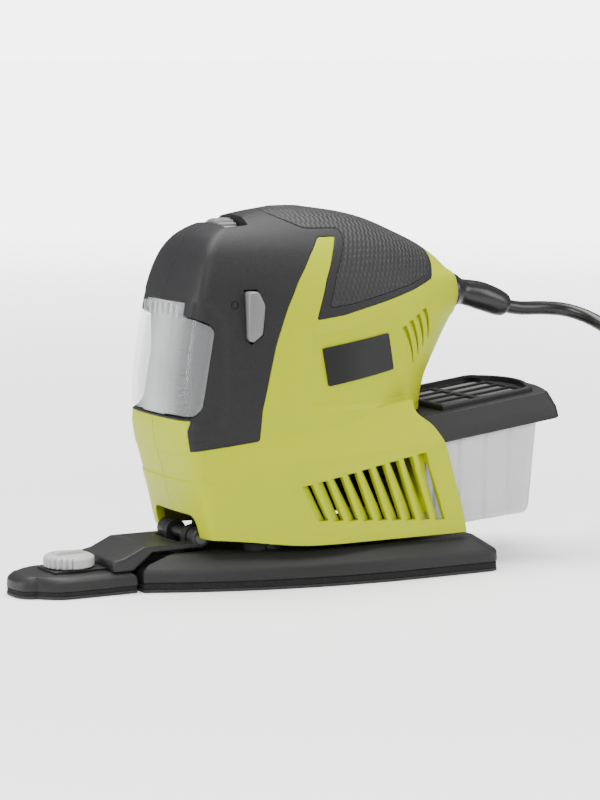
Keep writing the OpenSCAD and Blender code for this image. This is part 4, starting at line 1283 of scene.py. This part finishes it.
class SANDER_OT_stage(SanderOperator, bpy.types.Operator):
    """Pale floor, soft studio lights and the camera"""
    bl_idname = "sander.stage"
    bl_label = "Stage"

    def execute(self, context):
        self.make_floor()
        self.make_lights()
        self.make_camera()
        return {"FINISHED"}

    def make_floor(self):
        """Plain floor under the tool, with painted light: it glows for camera rays only, more
        strongly farther from the tool.
        """
        corners = [(x * FLOOR_HALF, y * FLOOR_HALF, FLOOR_LEVEL)
                   for x, y in ((-1, -1), (1, -1), (1, 1), (-1, 1))]
        floor = make_object("floor", corners, [(0, 1, 2, 3)])
        mat, tree, bsdf = base_material("pale floor", (0.9, 0.9, 0.9), 0.6, 0.2)
        bsdf.inputs["Emission Color"].default_value = (1, 1, 1, 1)
        reach = tree.nodes.new("ShaderNodeVectorMath")
        reach.operation = "LENGTH"
        link(tree, object_coordinates(tree), reach.inputs[0])
        path = tree.nodes.new("ShaderNodeLightPath")
        # Painted light on the floor: emission seen by the camera only, rising from 0.35 at 0.25 m
        # from the middle to 5 at 2.2 m and beyond.
        painted_floor_glow = worked_out(tree, "MULTIPLY",
                          map_range(tree, reach.outputs["Value"], 0.35, 5.0, 0.25, 2.2),
                          path.outputs["Is Camera Ray"])
        link(tree, painted_floor_glow, bsdf.inputs["Emission Strength"])
        floor.data.materials.append(mat)

    def area_light(self, name, place, target, size, power):
        """One rectangular light, aimed at a point."""
        data = bpy.data.lights.new(name, "AREA")
        data.shape = "RECTANGLE"
        data.size, data.size_y = size
        data.energy = power
        lamp = bpy.data.objects.new(name, data)
        lamp.location = place
        aim = Vector(target) - Vector(place)
        lamp.rotation_euler = aim.to_track_quat("-Z", "Y").to_euler()
        bpy.context.scene.collection.objects.link(lamp)

    def make_lights(self):
        """Surround and the area lights."""
        self.make_surround()
        self.area_light("overhead", (0.05, 0.1, 0.95), TOOL_MIDDLE, (0.9, 0.6), 23)
        self.area_light("front_strip", (-1.05, 0.22, 0.3), TOOL_MIDDLE, (0.22, 0.75), 11)
        self.area_light("key", (-0.55, -1.0, 0.75), TOOL_MIDDLE, (0.6, 0.5), 12)
        self.area_light("side_fill", (0.85, -0.75, 0.5), (0, 0, 0.1), (0.5, 0.6), 7)

    def make_surround(self):
        """A soft grey surround that looks white where it is seen directly."""
        world = bpy.data.worlds.new("studio")
        world.use_nodes = True
        tree = world.node_tree
        path = tree.nodes.new("ShaderNodeLightPath")
        mix = tree.nodes.new("ShaderNodeMixShader")
        link(tree, path.outputs["Is Camera Ray"], mix.inputs[0])
        dim, bright = tree.nodes["Background"], tree.nodes.new("ShaderNodeBackground")
        for socket, node, strength in ((mix.inputs[1], dim, 0.34), (mix.inputs[2], bright, 5.6)):
            node.inputs[0].default_value = (1, 1, 1, 1)
            node.inputs[1].default_value = strength
            link(tree, node.outputs[0], socket)
        link(tree, mix.outputs[0], tree.nodes["World Output"].inputs["Surface"])
        bpy.context.scene.world = world

    def make_camera(self):
        """Camera at the front left, a little above the tool."""
        az, el = math.radians(28.5), math.radians(7.0)
        back = Vector((-math.sin(az) * math.cos(el), -math.cos(az) * math.cos(el), math.sin(el)))
        middle = Vector((0, 0, 0.075))
        data = bpy.data.cameras.new("camera")
        data.sensor_width = 36
        distance = self.sizes().camera_distance
        data.lens = 2.35 / MM * distance / 800 * 36
        data.shift_x = 16.5 / 800
        data.shift_y = -4.3 / 800
        data.clip_start = 0.02
        camera = bpy.data.objects.new("camera", data)
        camera.location = middle + back * distance
        camera.rotation_euler = (-back).to_track_quat("-Z", "Y").to_euler()
        bpy.context.scene.collection.objects.link(camera)
        bpy.context.scene.camera = camera


OPERATORS = (SANDER_OT_stage, SANDER_OT_insides, SANDER_OT_housing, SANDER_OT_controls,
             SANDER_OT_pad, SANDER_OT_finger, SANDER_OT_dust_box, SANDER_OT_cord)


class SANDER_PT_panel(bpy.types.Panel):
    """Lists the sander's sizes, colours and pieces."""
    bl_idname = "SANDER_PT_panel"
    bl_label = "Detail sander"
    bl_space_type = "VIEW_3D"
    bl_region_type = "UI"
    bl_category = "Sander"

    def draw(self, context):
        for group in (context.scene.sander_sizes, context.scene.sander_colours):
            for name in group.__annotations__:
                self.layout.prop(group, name)
        for operator in OPERATORS:
            self.layout.operator(operator.bl_idname)


CLASSES = (SanderColours, SanderSizes, *OPERATORS, SANDER_PT_panel)


def register():
    for cls in CLASSES:
        bpy.utils.register_class(cls)
    bpy.types.Scene.sander_colours = bpy.props.PointerProperty(type=SanderColours)
    bpy.types.Scene.sander_sizes = bpy.props.PointerProperty(type=SanderSizes)


def unregister():
    del bpy.types.Scene.sander_sizes
    del bpy.types.Scene.sander_colours
    for cls in reversed(CLASSES):
        bpy.utils.unregister_class(cls)


def main():
    register()
    make_materials(bpy.context.scene.sander_colours)
    bpy.ops.sander.stage()
    bpy.ops.sander.insides()
    bpy.ops.sander.housing()
    bpy.ops.sander.controls()
    bpy.ops.sander.pad()
    bpy.ops.sander.finger()
    bpy.ops.sander.dust_box()
    bpy.ops.sander.cord()


if __name__ == "__main__":
    main()
